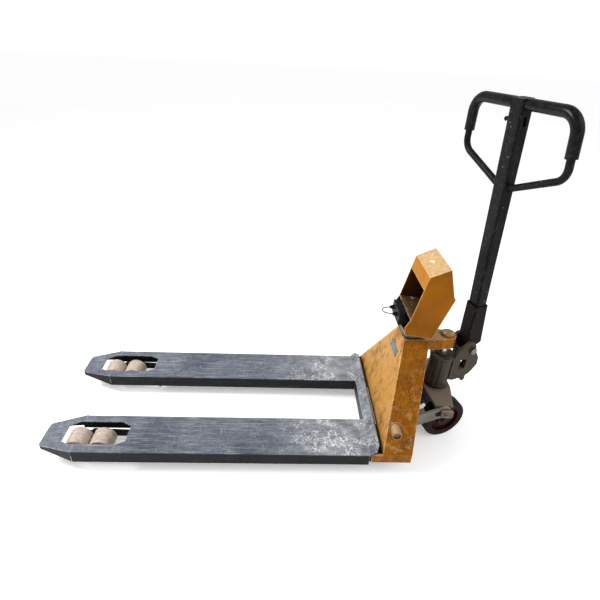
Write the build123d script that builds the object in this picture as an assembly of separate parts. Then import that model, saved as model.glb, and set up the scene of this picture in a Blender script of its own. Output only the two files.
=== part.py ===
from build123d import *
import os
from math import asin, atan2, cos, degrees, hypot, radians, sin, tan

# Hand pallet truck with a built-in scale. Millimetres, +Z up, +X from the forks towards the tiller.
# Left and right are those of a person at the tiller who faces the forks: left is -Y.
# The pieces are drawn with x = 0 at the heel line of the forks and z = 0 on the floor.
# The last section moves them so that the origin is below the middle of the whole truck.

os.makedirs("parts", exist_ok=True)

# ---------------------------------------------------------------- driving dimensions
SIDES = {"left": -1, "right": 1}

FORK_LENGTH = 1150.0        # heel line to tip
OVERALL_WIDTH = 555.0       # over both forks
FORK_WIDTH = 170.0
DECK_HEIGHT = 88.0          # top of the lowered forks
LIFT = 115.0                # stroke of the forks
STEER_REST = 16.4           # degrees that the tiller stands turned at rest
RUNNING = 0.05              # radial clearance of a shaft that turns in its hole
GAP = 1.0                   # side clearance between plates that move past each other

# Weighing deck: a sheet cover over each inner fork, joined by a cross plate at the heel.
COVER_WALL = 4.0
COVER_DEPTH = 49.0
COVER_BEND = 5.0
NOSE_LENGTH = 123.0
NOSE_SET_IN = 35.0          # how far each side of the nose closes in at the tip
NOSE_DROP = 10.5
NOSE_TIP_DEPTH = 13.0
WINDOW_FROM_TIP = 293.0     # heel end of the window to the tip
WINDOW_LENGTH = 220.0
WINDOW_WIDTH = 104.0
WINDOW_END_WIDTH = 70.0
WINDOW_CHAMFER = 34.0
CROSS_PLATE_WALL = 6.0
CROSS_PLATE_LOW = 36.0
LIP_RISE = 31.0
LIP_RUN = 26.0
LIP_CORNER = 30.0

# Inner forks and load cells.
INNER_WIDTH = 144.0
INNER_TOP = 74.0
INNER_LOW = 40.0
INNER_WALL = 5.0
INNER_FROM_TIP = 105.0      # end of the inner fork to the tip
INNER_HEEL_X = 62.0
CELL_LENGTH = 130.0
CELL_WIDTH = 32.0
CELL_INSET = 90.0

# Mast frame: front plate, two sloping side plates and the head.
FRAME_WALL = 6.0
FRAME_LOW = 52.0
FRAME_FRONT_X = 7.0
FRAME_REAR_X = 148.0
FRAME_FOOT_X = 45.0         # where the front plate starts
FRAME_TOP_X = 117.0
FRAME_TOP_Z = 419.0
FRAME_TOP_HALF = 46.7
FRAME_TOP_REAR_X = 208.0
BEAM_WIDTH = 36.0
BEAM_FRONT_X = 8.0
STUB_X = 87.0
STUB_Z = 162.0
STUB_RADIUS = 18.0
STUB_END = 258.0

# Steering axis, ram and head.
STEER_X = 290.0
HEAD_LOW = 372.0
HEAD_TOP = 415.0
HEAD_WALL = 7.0
HEAD_RADIUS = 31.0
BOSS_RADIUS = 26.0
BOSS_TOP = 426.0
RAM_RADIUS = 15.0
RAM_LOW = 206.0

# Pump, all in the straight-ahead position, x measured from the steering axis.
PUMP_RADIUS = 43.0
PUMP_LOW = 194.0
PUMP_TOP = 330.0
PUMP_BORE_LOW = 200.0
RIB_COUNT = 3
CHEEK_WALL = 12.0
CHEEK_GAP = 60.0            # clear width between the two cheeks
TILLER_PIVOT_A = 96.0
TILLER_PIVOT_Z = 354.0
PIVOT_RADIUS = 8.0
EYE_RADIUS = 12.5           # eye of the tiller's foot
CAM_RADIUS = 26.0           # tiller pivot to cam roller
CAM_ROLLER_RADIUS = 9.0
TILLER_SWING = 77.0
PLUNGER_RADIUS = 7.0
PLUNGER_LOW = 266.0
PLUNGER_HEAD_RADIUS = 9.0
PLUNGER_HEAD = 8.0
GUIDE_TOP = 298.0           # top of the plunger's guide

# Carrier between pump and rocker, thrust bearing, spindle and axle.
CARRIER_LOW = 175.0
CARRIER_TOP = 186.0
CARRIER_HUB_RADIUS = 48.0
SPINDLE_RADIUS = 22.0
BEARING_RADIUS = 40.0
EAR_INNER = 122.0           # distance of the carrier's ears from the middle
EAR_WALL = 10.0
TRUNNION_Z = 166.0
TRUNNION_RADIUS = 9.0

# Steer wheels.
WHEEL_RADIUS = 85.0
WHEEL_WIDTH = 50.0
WHEEL_OUTER = 107.0         # outer face to the middle
TYRE_WALL = 20.0
AXLE_RADIUS = 10.0
BALL_RADIUS = 23.5
BALL_WIDTH = 14.0

# Rocker and push rods.
ROCKER_X = 95.0
ROCKER_Z = 72.0
ROCKER_TUBE_RADIUS = 19.0
ROCKER_SHAFT_RADIUS = 12.0
ROCKER_PAST_FORK = 12.5     # the tube reaches this far past the middle of each fork
ARM_WALL = 10.0
ARM_FOOT_DEPTH = 50.0
ARM_END_DEPTH = 42.0
FLANGE_SHORT = 46.0          # a level arm's flange ends this far before the trunnion, clear of the carrier
ROD_RADIUS = 7.0
ROD_EYE_RADIUS = 10.0
ROD_EYE_WIDTH = 16.0
ROD_PIN_RADIUS = 5.0
ROD_PIN_SLACK = 2.4         # play of the opened pivots

# Load rollers.
ROLLER_RADIUS = 40.0
ROLLER_WIDTH = 70.0
ROLLER_SPACING = 84.0
ROLLER_AXLE_RADIUS = 10.0
BOGIE_FROM_TIP = 154.0
BOGIE_WALL = 5.0
BRACKET_WALL = 8.0
BRACKET_FROM_TIP = 320.0
BRACKET_PIVOT_Z = 35.5
BRACKET_PIN_RADIUS = 6.0
BRACKET_LEVER = 24.5        # bracket pivot to push rod pin

# Tiller, measured in its own plane: along the bar up from the pivot, and across it.
TILLER_LEAN = 4.8           # degrees that it leans towards the frame at rest
TILLER_OFFSET = 12.0        # bar centreline in front of the pivot
BAR_DEPTH = 40.0
BAR_WIDTH = 50.0
BAR_WALL = 3.0
BAR_CORNER = 7.0
BAR_START = 34.0
SLEEVE_START = -12.0
SLEEVE_LENGTH = 196.0
SLEEVE_DEPTH = 68.0
SLEEVE_TOP_DEPTH = 50.0
SLEEVE_WIDTH = 58.0
SLEEVE_WALL = (SLEEVE_WIDTH - BAR_WIDTH) / 2
CROSSBAR_UP = 843.0
LOOP_TOP_HALF = 197.0
LOOP_LOW_HALF = 209.0
LOOP_DROP = 157.0
LOOP_JOIN_HALF = 20.0
LOOP_JOIN_DROP = 236.0
LOOP_TOP_BEND = 52.0
LOOP_LOW_BEND = 42.0
LOOP_TUBE_RADIUS = 10.5
LOOP_TUBE_WALL = 2.5
GRIP_WALL = 5.5
GRIP_END_DROP = 104.0
GRIP_START = 28.0           # from the bar's middle to the start of each grip
LEVER_DROP = 46.0
LEVER_REACH = 46.0
LEVER_PIN_RADIUS = 2.5
RELEASE_ROD_ASIDE = 9.0

# Indicator hood above the head, outline in X and Z.
HOOD_HALF = 85.0
HOOD_WALL = 3.0
HOOD_TOP_BACK = (144.0, 690.0)
HOOD_TOP_FRONT = (208.0, 721.0)
HOOD_CHEST = (238.0, 622.0)
HOOD_LEDGE = (245.0, 612.0)
HOOD_FOOT_FRONT = (197.0, 454.0)
HOOD_FOOT_BACK = (101.0, 468.0)
HOOD_HEEL = (96.0, 498.0)
HOOD_SILL = (111.0, 529.0)
HOOD_LIP = (134.0, 643.0)
HOOD_SHELF_END = (212.0, 516.0)
JUNCTION_FRONT_X = 84.0     # the junction box sticks out below the shelf towards the forks
JUNCTION_DEPTH = 54.0
JUNCTION_LOW = 479.0
JUNCTION_ACROSS = (-40.0, 56.0)
GLAND_ACROSS = (-6.0, 40.0)
CABLE_REACH = 46.0          # how far the cable loops out of the glands
GLAND_Z = 503.0
INDICATOR_DEPTH = 46.0
KEY_COUNT = 4
KEY_TRAVEL = 1.2
KEY_LENGTH = 22.0
KEY_HEIGHT = 13.0
KEY_SPACING = 30.0
CABLE_RADIUS = 2.0

# ---------------------------------------------------------------- dimensions that follow
HALF_WIDTH = OVERALL_WIDTH / 2
FORK_Y = HALF_WIDTH - FORK_WIDTH / 2
ROCKER_HALF = FORK_Y + ROCKER_PAST_FORK
TAPER_X = -FORK_LENGTH + NOSE_LENGTH
WINDOW_HEEL_X = -FORK_LENGTH + WINDOW_FROM_TIP
INNER_TIP_X = -FORK_LENGTH + INNER_FROM_TIP
BOGIE_X = -FORK_LENGTH + BOGIE_FROM_TIP
BRACKET_PIVOT_X = -FORK_LENGTH + BRACKET_FROM_TIP
FOLD_LOW = DECK_HEIGHT - 2
FRAME_SLOPE = (HALF_WIDTH - FRAME_TOP_HALF) / (FRAME_TOP_Z - DECK_HEIGHT)
CHEEK_INNER = CHEEK_GAP / 2
CHEEK_OUTER = CHEEK_INNER + CHEEK_WALL
TRUNNION_ARM = hypot(STEER_X - ROCKER_X, TRUNNION_Z - ROCKER_Z)
ROCKER_REST = degrees(atan2(TRUNNION_Z - ROCKER_Z, STEER_X - ROCKER_X))
ROCKER_SWING = ROCKER_REST - degrees(atan2(TRUNNION_Z - ROCKER_Z - LIFT, STEER_X - ROCKER_X))
BRACKET_ARM = hypot(BRACKET_PIVOT_X - BOGIE_X, ROLLER_RADIUS - BRACKET_PIVOT_Z)
BRACKET_REST = degrees(asin((BRACKET_PIVOT_Z - ROLLER_RADIUS) / BRACKET_ARM))
BRACKET_SWING = degrees(asin((BRACKET_PIVOT_Z - ROLLER_RADIUS + LIFT) / BRACKET_ARM)) - BRACKET_REST
ROD_TRAVEL = 2 * BRACKET_LEVER * sin(radians(BRACKET_SWING / 2))
ROCKER_LEVER = ROD_TRAVEL / (2 * sin(radians(ROCKER_SWING / 2)))
ROD_TIP_X = BRACKET_PIVOT_X + BRACKET_LEVER * sin(radians(BRACKET_SWING / 2))
ROD_TIP_Z = BRACKET_PIVOT_Z + BRACKET_LEVER * cos(radians(BRACKET_SWING / 2))
ROD_HEEL_X = ROCKER_X + ROCKER_LEVER * sin(radians(ROCKER_SWING / 2))
ROD_HEEL_Z = ROCKER_Z - ROCKER_LEVER * cos(radians(ROCKER_SWING / 2))
ARM_INNER = EAR_INNER + EAR_WALL + 2 * GAP
BOGIE_INNER = ROLLER_WIDTH / 2 + 2 * GAP
BOGIE_OUTER = BOGIE_INNER + BOGIE_WALL
BRACKET_INNER = BOGIE_OUTER + 2 * GAP
BRACKET_OUTER = BRACKET_INNER + BRACKET_WALL
CAM_START = TILLER_SWING / 2
CAM_A = CAM_RADIUS * cos(radians(CAM_START))
CAM_UP = CAM_RADIUS * sin(radians(CAM_START))
PLUNGER_A = TILLER_PIVOT_A + (CAM_RADIUS + CAM_A) / 2
PLUNGER_TOP = TILLER_PIVOT_Z + CAM_UP - CAM_ROLLER_RADIUS - GAP
PLUNGER_TRAVEL = 2 * CAM_UP
DISPLAY_TILT = degrees(atan2(HOOD_CHEST[0] - HOOD_TOP_FRONT[0], HOOD_TOP_FRONT[1] - HOOD_CHEST[1]))


# ---------------------------------------------------------------- drawing helpers
def block(x, y, z):
    """Box between the low and high values of x, y and z."""
    middle = [(low + high) / 2 for low, high in (x, y, z)]
    return Pos(*middle) * Box(x[1] - x[0], y[1] - y[0], z[1] - z[0])


def bar(start, end, radius):
    """Round bar from one point to another."""
    path = Vector(*end) - Vector(*start)
    round_bar = Cylinder(radius, path.length, align=(Align.CENTER, Align.CENTER, Align.MIN))
    return Plane(origin=start, z_dir=path) * round_bar


def cross_bar(x, z, y, radius):
    """Round bar across the truck, between two values of y."""
    return bar((x, y[0], z), (x, y[1], z), radius)


def side_plate(outline, y):
    """Plate with an outline in x and z, between two values of y."""
    face = make_face(Polyline([(px, y[0], pz) for px, pz in outline], close=True))
    return extrude(face, amount=y[1] - y[0], dir=(0, 1, 0))


def level_plate(outline, z):
    """Plate with an outline in x and y, between two values of z."""
    face = make_face(Polyline([(px, py, z[0]) for px, py in outline], close=True))
    return extrude(face, amount=z[1] - z[0], dir=(0, 0, 1))


def long_profile(outline, x):
    """Solid with an outline in y and z, between two values of x."""
    face = make_face(Polyline([(x[0], py, pz) for py, pz in outline], close=True))
    return extrude(face, amount=x[1] - x[0], dir=(1, 0, 0))


def link(start, end, start_radius, end_radius, y):
    """Flat link with a round end about each of two points in x and z."""
    (x0, z0), (x1, z1) = start, end
    angle = atan2(z1 - z0, x1 - x0)
    across = (-sin(angle), cos(angle))
    outline = [(x0 + across[0] * start_radius, z0 + across[1] * start_radius),
               (x1 + across[0] * end_radius, z1 + across[1] * end_radius),
               (x1 - across[0] * end_radius, z1 - across[1] * end_radius),
               (x0 - across[0] * start_radius, z0 - across[1] * start_radius)]
    ends = cross_bar(x0, z0, y, start_radius) + cross_bar(x1, z1, y, end_radius)
    return side_plate(outline, y) + ends


def mirrored(piece):
    """The same piece on the other side of the truck."""
    return mirror(piece, about=Plane.XZ)


def group(*pieces):
    """Identical separate pieces that share one node."""
    return Compound(children=[solid for piece in pieces for solid in piece.solids()])


def on_both_forks(piece):
    """The same piece, drawn about y = 0, in the middle of each fork."""
    return group(*[Pos(0, sign * FORK_Y, 0) * piece for sign in SIDES.values()])


# ---------------------------------------------------------------- weighing deck
def window(z):
    """Long eight-sided opening in a fork's top, above the load rollers."""
    heel, tip = WINDOW_HEEL_X, WINDOW_HEEL_X - WINDOW_LENGTH
    half, end_half = WINDOW_WIDTH / 2, WINDOW_END_WIDTH / 2
    near, far = heel - WINDOW_CHAMFER, tip + WINDOW_CHAMFER
    outline = [(tip, -end_half), (far, -half), (near, -half), (heel, -end_half),
               (heel, end_half), (near, half), (far, half), (tip, end_half)]
    return level_plate(outline, z)


def fork_cover():
    """Straight sheet cover of one fork, open below and at both ends, about y = 0."""
    half = FORK_WIDTH / 2
    outer = block((TAPER_X, 0), (-half, half), (DECK_HEIGHT - COVER_DEPTH, DECK_HEIGHT))
    outer = fillet(outer.edges().filter_by(Axis.X).group_by(Axis.Z)[-1], COVER_BEND)
    inside = block((TAPER_X - 1, 1), (COVER_WALL - half, half - COVER_WALL), (0, DECK_HEIGHT - COVER_WALL))
    return outer - inside - window((DECK_HEIGHT - 2 * COVER_WALL, DECK_HEIGHT + 1))


def nose_solid(inset, low, heel_low):
    """Tapered nose, smaller all round by an inset, down to low at the tip and to heel_low at the heel end."""
    heel = TAPER_X + COVER_BEND
    tip = -FORK_LENGTH + inset
    slope = NOSE_SET_IN / NOSE_LENGTH
    half = FORK_WIDTH / 2 - inset
    tip_half = half - slope * (TAPER_X - tip)
    plan = [(heel, -half), (TAPER_X, -half), (tip, -tip_half), (tip, tip_half), (TAPER_X, half), (heel, half)]
    top = DECK_HEIGHT - inset
    side = [(heel, top), (TAPER_X, top), (tip, top - NOSE_DROP), (tip, low), (TAPER_X, heel_low),
            (heel, heel_low)]
    return level_plate(plan, (-1, DECK_HEIGHT + 1)) & side_plate(side, (-FORK_WIDTH, FORK_WIDTH))


def nose():
    """Tapered sheet nose of one fork, open below, about y = 0."""
    skirt_low = DECK_HEIGHT - COVER_DEPTH
    outer = nose_solid(0.0, DECK_HEIGHT - NOSE_DROP - NOSE_TIP_DEPTH, skirt_low)
    outer = fillet(outer.edges().filter_by(Axis.Z).group_by(Axis.X)[0], 3 * COVER_BEND)
    outer &= block((-FORK_LENGTH - 1, TAPER_X), (-FORK_WIDTH, FORK_WIDTH), (0, DECK_HEIGHT + 1))
    inner = nose_solid(COVER_WALL, 0, 0)
    return outer - inner - window((DECK_HEIGHT - COVER_DEPTH / 2, DECK_HEIGHT + 1))


def heel_plate():
    """Cross plate at the heel: a web between the forks and a lip that leans back over the full width."""
    wall = CROSS_PLATE_WALL
    web_half = FORK_Y - FORK_WIDTH / 2
    web = block((0, wall), (-web_half, web_half), (CROSS_PLATE_LOW, DECK_HEIGHT))
    lip = side_plate([(0, DECK_HEIGHT), (LIP_RUN, DECK_HEIGHT + LIP_RISE),
                      (LIP_RUN + wall, DECK_HEIGHT + LIP_RISE - wall / 2), (wall, DECK_HEIGHT - wall / 2),
                      (wall, DECK_HEIGHT - COVER_WALL), (0, DECK_HEIGHT - COVER_WALL)],
                     (-HALF_WIDTH, HALF_WIDTH))
    corner, top = LIP_CORNER, DECK_HEIGHT + LIP_RISE
    face = [(-HALF_WIDTH, 0), (HALF_WIDTH, 0), (HALF_WIDTH, top - corner / 2), (HALF_WIDTH - corner, top + 1),
            (corner - HALF_WIDTH, top + 1), (-HALF_WIDTH, top - corner / 2)]
    return (web + lip) & long_profile(face, (-1, LIP_RUN + 2 * wall))


# ---------------------------------------------------------------- chassis under the deck
def inner_fork():
    """Load-bearing channel inside one fork, with ears for the roller bracket, about y = 0."""
    half = INNER_WIDTH / 2
    channel = block((INNER_TIP_X, INNER_HEEL_X), (-half, half), (INNER_LOW, INNER_TOP))
    inside = block((INNER_TIP_X - 1, INNER_HEEL_X + 1), (INNER_WALL - half, half - INNER_WALL),
                   (0, INNER_TOP - INNER_WALL))
    opening = block((WINDOW_HEEL_X - WINDOW_LENGTH - 8, WINDOW_HEEL_X + 8),
                    (INNER_WALL - half, half - INNER_WALL), (INNER_LOW, INNER_TOP + 1))
    piece = channel - inside - opening
    ear_radius = BRACKET_PIN_RADIUS + 6
    for y in ((-half, INNER_WALL - half), (half - INNER_WALL, half)):
        ear = link((BRACKET_PIVOT_X, BRACKET_PIVOT_Z), (BRACKET_PIVOT_X, INNER_LOW + ear_radius),
                   ear_radius, ear_radius + 4, y)
        piece += ear
        piece -= cross_bar(BRACKET_PIVOT_X, BRACKET_PIVOT_Z, (y[0] - 1, y[1] + 1), BRACKET_PIN_RADIUS)
    return piece


def load_cells():
    """Four shear-beam load cells between the inner forks and the deck."""
    cells = []
    for sign in SIDES.values():
        for x in (-CELL_INSET, WINDOW_HEEL_X + CELL_INSET + CELL_LENGTH):
            y = sign * FORK_Y
            body = block((x - CELL_LENGTH, x), (y - CELL_WIDTH / 2, y + CELL_WIDTH / 2),
                         (INNER_TOP, DECK_HEIGHT - COVER_WALL))
            relief = block((x - 0.7 * CELL_LENGTH, x - 0.3 * CELL_LENGTH),
                           (y - CELL_WIDTH, y - CELL_WIDTH / 3), (INNER_TOP - 1, DECK_HEIGHT))
            cells.append(body - relief)
    return group(*cells)


def inner_frame():
    """Welded inner frame: both inner forks and the flat beam across them under the front plate."""
    half = HALF_WIDTH - FRAME_WALL
    beam = block((BEAM_FRONT_X, BEAM_FRONT_X + BEAM_WIDTH), (-half, half), (INNER_TOP, FOLD_LOW))
    fork = inner_fork()
    return beam + [Pos(0, sign * FORK_Y, 0) * fork for sign in SIDES.values()]


# ---------------------------------------------------------------- mast frame
def frame_side():
    """Right side plate of the mast frame: an upright flange below a plate that slopes inwards."""
    out, top = HALF_WIDTH, FRAME_TOP_Z
    wall_across = FRAME_WALL * hypot(1, FRAME_SLOPE)
    bend = [(out, FRAME_LOW), (out, DECK_HEIGHT), (FRAME_TOP_HALF, top),
            (FRAME_TOP_HALF - wall_across, top), (out - wall_across, DECK_HEIGHT),
            (out - FRAME_WALL, FOLD_LOW), (out - FRAME_WALL, FRAME_LOW)]
    folded = long_profile(bend, (0, FRAME_TOP_REAR_X + 1))
    side = [(FRAME_FRONT_X, FRAME_LOW), (FRAME_FRONT_X, DECK_HEIGHT), (FRAME_FOOT_X, DECK_HEIGHT),
            (FRAME_TOP_X, top), (FRAME_TOP_REAR_X, top), (FRAME_REAR_X, DECK_HEIGHT),
            (FRAME_REAR_X, FRAME_LOW)]
    return folded & side_plate(side, (0, HALF_WIDTH + 1))


def left_frame_side():
    """Left side plate: the right one mirrored, with a hole for the stub."""
    stub_hole = cross_bar(STUB_X, STUB_Z, (-HALF_WIDTH, -HALF_WIDTH / 2), STUB_RADIUS)
    return mirrored(frame_side()) - stub_hole


def side_stub():
    """Stub: a short thick bar through the left side plate, with a recessed end."""
    side_y = HALF_WIDTH - FRAME_SLOPE * (STUB_Z - DECK_HEIGHT)
    stub = cross_bar(STUB_X, STUB_Z, (-STUB_END, -side_y + 4 * FRAME_WALL), STUB_RADIUS)
    stub = chamfer(stub.edges().group_by(Axis.Y)[0], 2)
    recess = cross_bar(STUB_X, STUB_Z, (-STUB_END - 1, -STUB_END + 6), STUB_RADIUS - 5)
    return stub - recess


def front_plate():
    """Leaning front plate between the two side plates."""
    run = FRAME_TOP_X - FRAME_FOOT_X
    rise = FRAME_TOP_Z - DECK_HEIGHT
    wall_along = FRAME_WALL * hypot(run, rise) / rise
    leaning = side_plate([(FRAME_FOOT_X, DECK_HEIGHT), (FRAME_TOP_X, FRAME_TOP_Z),
                          (FRAME_TOP_X + wall_along, FRAME_TOP_Z), (FRAME_FOOT_X + wall_along, DECK_HEIGHT)],
                         (-HALF_WIDTH, HALF_WIDTH))
    inset = FRAME_WALL * hypot(1, FRAME_SLOPE)
    bottom, top = HALF_WIDTH - inset, FRAME_TOP_HALF - inset
    shape = [(-bottom, DECK_HEIGHT), (bottom, DECK_HEIGHT), (top, FRAME_TOP_Z), (-top, FRAME_TOP_Z)]
    return leaning & long_profile(shape, (0, FRAME_TOP_REAR_X))


def head():
    """Head of the mast frame: a top plate with a round nose, folded skirts and the boss over the ram."""
    rear = FRAME_TOP_REAR_X - 6
    half = FRAME_TOP_HALF - FRAME_WALL * hypot(1, FRAME_SLOPE)
    start = FRAME_TOP_X + 2 * FRAME_WALL

    def outline(inset, low, high):
        body = level_plate([(start, inset - half), (rear, inset - half), (STEER_X, inset - HEAD_RADIUS),
                            (STEER_X, HEAD_RADIUS - inset), (rear, half - inset), (start, half - inset)],
                           (low, high))
        return body + bar((STEER_X, 0, low), (STEER_X, 0, high), HEAD_RADIUS - inset)

    shell = outline(0, HEAD_LOW, HEAD_TOP)
    tail = block((0, FRAME_TOP_REAR_X), (-half, half), (0, HEAD_TOP - 2 * HEAD_WALL))
    shell -= tail
    shell -= outline(HEAD_WALL, HEAD_LOW - 1, HEAD_TOP - HEAD_WALL) - bar(
        (STEER_X, 0, HEAD_LOW - 2), (STEER_X, 0, HEAD_TOP), RAM_RADIUS + HEAD_WALL)
    boss = bar((STEER_X, 0, HEAD_TOP - 1), (STEER_X, 0, BOSS_TOP), BOSS_RADIUS)
    boss = fillet(boss.edges().group_by(Axis.Z)[-1], 6)
    socket = bar((STEER_X, 0, HEAD_LOW - 1), (STEER_X, 0, HEAD_TOP - HEAD_WALL), RAM_RADIUS)
    return shell + boss - socket


def ram():
    """Chrome ram that stands in the pump and lifts the head."""
    rod = bar((STEER_X, 0, RAM_LOW), (STEER_X, 0, HEAD_TOP - HEAD_WALL), RAM_RADIUS)
    return chamfer(rod.edges().group_by(Axis.Z)[0], 2)


# ---------------------------------------------------------------- indicator
def hood_outline():
    return [HOOD_TOP_BACK, HOOD_TOP_FRONT, HOOD_CHEST, HOOD_LEDGE, HOOD_FOOT_FRONT, HOOD_FOOT_BACK, HOOD_HEEL,
            HOOD_SILL, HOOD_LIP]


def sheet(start, end, y):
    """Sheet of the hood's thickness below or inside the straight line from start to end."""
    (x0, z0), (x1, z1) = start, end
    length = hypot(x1 - x0, z1 - z0)
    across = ((z1 - z0) / length * HOOD_WALL, -(x1 - x0) / length * HOOD_WALL)
    outline = [(x0, z0), (x1, z1), (x1 + across[0], z1 + across[1]), (x0 + across[0], z0 + across[1])]
    return side_plate(outline, y)


def hood():
    """Folded sheet hood round the indicator, open towards the forks and towards the display."""
    piece = side_plate(hood_outline(), (-HOOD_HALF, HOOD_WALL - HOOD_HALF))
    piece += side_plate(hood_outline(), (HOOD_HALF - HOOD_WALL, HOOD_HALF))
    inner = (HOOD_WALL - HOOD_HALF, HOOD_HALF - HOOD_WALL)
    piece += sheet(HOOD_TOP_BACK, HOOD_TOP_FRONT, inner)
    piece += sheet(HOOD_LIP, HOOD_TOP_BACK, inner)
    piece += sheet(HOOD_LEDGE, HOOD_FOOT_FRONT, inner)
    piece += sheet(HOOD_FOOT_FRONT, HOOD_FOOT_BACK, inner)
    piece += sheet(HOOD_SILL, HOOD_SHELF_END, inner)
    return piece


def hood_mount():
    """Dark folded bracket between the head of the frame and the hood."""
    foot = FRAME_TOP_Z
    low_half, high_half = 34.0, 52.0
    front, back = FRAME_TOP_REAR_X - 14, FRAME_TOP_X + 4
    slope = (HOOD_FOOT_BACK[1] - HOOD_FOOT_FRONT[1]) / (HOOD_FOOT_FRONT[0] - HOOD_FOOT_BACK[0])

    def under_hood(x):
        return HOOD_FOOT_FRONT[1] + slope * (HOOD_FOOT_FRONT[0] - x) - HOOD_WALL - 0.2

    side = [(back, foot), (front, foot), (front, under_hood(front)), (back - 14, under_hood(back - 14)),
            (back - 14, foot + 14)]
    high = HOOD_FOOT_BACK[1]
    across = [(-low_half, foot), (low_half, foot), (high_half, high), (-high_half, high)]
    return side_plate(side, (-high_half, high_half)) & long_profile(across, (0, FRAME_TOP_REAR_X))


def display_plane():
    """Plane on the sloping display face, x down the face and y across it, facing the operator."""
    tilt = radians(DISPLAY_TILT)
    return Plane(origin=(HOOD_TOP_FRONT[0], 0, HOOD_TOP_FRONT[1]), x_dir=(sin(tilt), 0, -cos(tilt)),
                 z_dir=(cos(tilt), 0, sin(tilt)))


FACE_LENGTH = hypot(HOOD_CHEST[0] - HOOD_TOP_FRONT[0], HOOD_CHEST[1] - HOOD_TOP_FRONT[1])
BOX_START = HOOD_WALL + 9
BOX_HALF = HOOD_HALF - HOOD_WALL
KEY_DOWN = FACE_LENGTH - 22


def on_face(down, across, out):
    """Box given down, across and out of the display face."""
    middle = [(low + high) / 2 for low, high in (down, across, out)]
    return display_plane() * Pos(*middle) * Box(down[1] - down[0], across[1] - across[0], out[1] - out[0])


def key_place(number):
    return KEY_SPACING * (number - (KEY_COUNT - 1) / 2)


def indicator_case():
    """Indicator case behind the display face: hollow, with a seat for the window and a hole for each key."""
    case = on_face((BOX_START, FACE_LENGTH - 2), (-BOX_HALF, BOX_HALF), (-INDICATOR_DEPTH, 0))
    case -= on_face((BOX_START + 3, FACE_LENGTH - 5), (3 - BOX_HALF, BOX_HALF - 3), (3 - INDICATOR_DEPTH, -3))
    case += on_face((17, 59), (3 - BOX_HALF, BOX_HALF - 3), (-6, -2.5))
    case -= on_face((20, 56), (-60, 60), (-2.5, 1))
    for number in range(KEY_COUNT):
        y = key_place(number)
        case -= on_face((KEY_DOWN - KEY_HEIGHT / 2 - 0.5, KEY_DOWN + KEY_HEIGHT / 2 + 0.5),
                        (y - KEY_LENGTH / 2 - 0.5, y + KEY_LENGTH / 2 + 0.5), (-4, 1))
    return case


def indicator_lens():
    """Clear window in front of the display."""
    return on_face((20, 56), (-60, 60), (-2.5, 0.5))


def key(number):
    """Push key with a stem."""
    y = key_place(number)
    cap = on_face((KEY_DOWN - KEY_HEIGHT / 2, KEY_DOWN + KEY_HEIGHT / 2),
                  (y - KEY_LENGTH / 2, y + KEY_LENGTH / 2), (-1.5, 2))
    stem = on_face((KEY_DOWN - 3, KEY_DOWN + 3), (y - 5, y + 5), (-6, -1.5))
    return cap + stem


def junction_box():
    """Plastic junction box under the hood's shelf, with a stepped lid towards the forks."""
    x, z = HOOD_SILL
    slope = (HOOD_SHELF_END[1] - z) / (HOOD_SHELF_END[0] - x)
    back = JUNCTION_FRONT_X + JUNCTION_DEPTH
    wall_down = HOOD_WALL * hypot(1, slope)
    side = [(JUNCTION_FRONT_X, JUNCTION_LOW), (back, JUNCTION_LOW),
            (back, z + slope * (back - x) - wall_down), (x, z - wall_down), (JUNCTION_FRONT_X, z - wall_down)]
    box = side_plate(side, JUNCTION_ACROSS)
    groove = block((JUNCTION_FRONT_X + 9, JUNCTION_FRONT_X + 11), JUNCTION_ACROSS, (JUNCTION_LOW, z))
    low, high = JUNCTION_ACROSS
    core = block((JUNCTION_FRONT_X, back), (low + 1, high - 1), (JUNCTION_LOW + 1, z))
    box -= groove - core
    hollow = block((JUNCTION_FRONT_X + 12, back - 3), (low + 3, high - 3),
                   (JUNCTION_LOW + 3, z - wall_down - 6))
    return box - hollow


def glands():
    """Cable glands on the face of the junction box."""
    pieces = []
    for y in GLAND_ACROSS:
        facing_out = Plane(origin=(JUNCTION_FRONT_X, y, GLAND_Z), z_dir=(-1, 0, 0))
        nut = extrude(RegularPolygon(9, 6), amount=8)
        cone = Pos(0, 0, 8) * Cylinder(6, 6, align=(Align.CENTER, Align.CENTER, Align.MIN))
        bore = Cylinder(CABLE_RADIUS, 15, align=(Align.CENTER, Align.CENTER, Align.MIN))
        pieces.append(facing_out * (nut + cone - bore))
    return group(*pieces)


def cable():
    """Load-cell lead that loops out of one gland and back into the other."""
    first, last = GLAND_ACROSS
    route = ((0, first), (CABLE_REACH, first), (CABLE_REACH, last), (0, last))
    points = [Vector(JUNCTION_FRONT_X - out, across, GLAND_Z) for out, across in route]
    radii = []
    for before, corner, after in zip(points, points[1:], points[2:]):
        turn = (corner - before).get_angle(after - corner)
        shorter = min((corner - before).length, (after - corner).length)
        radii.append(0.45 * shorter / tan(radians(turn / 2)))
    path = FilletPolyline(points, radius=radii)
    print("cable radii", [round(radius, 1) for radius in radii], f"length {path.length:.1f}")
    section = Plane(origin=path @ 0, z_dir=path % 0) * Circle(CABLE_RADIUS)
    return sweep(section, path=path)


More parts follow.
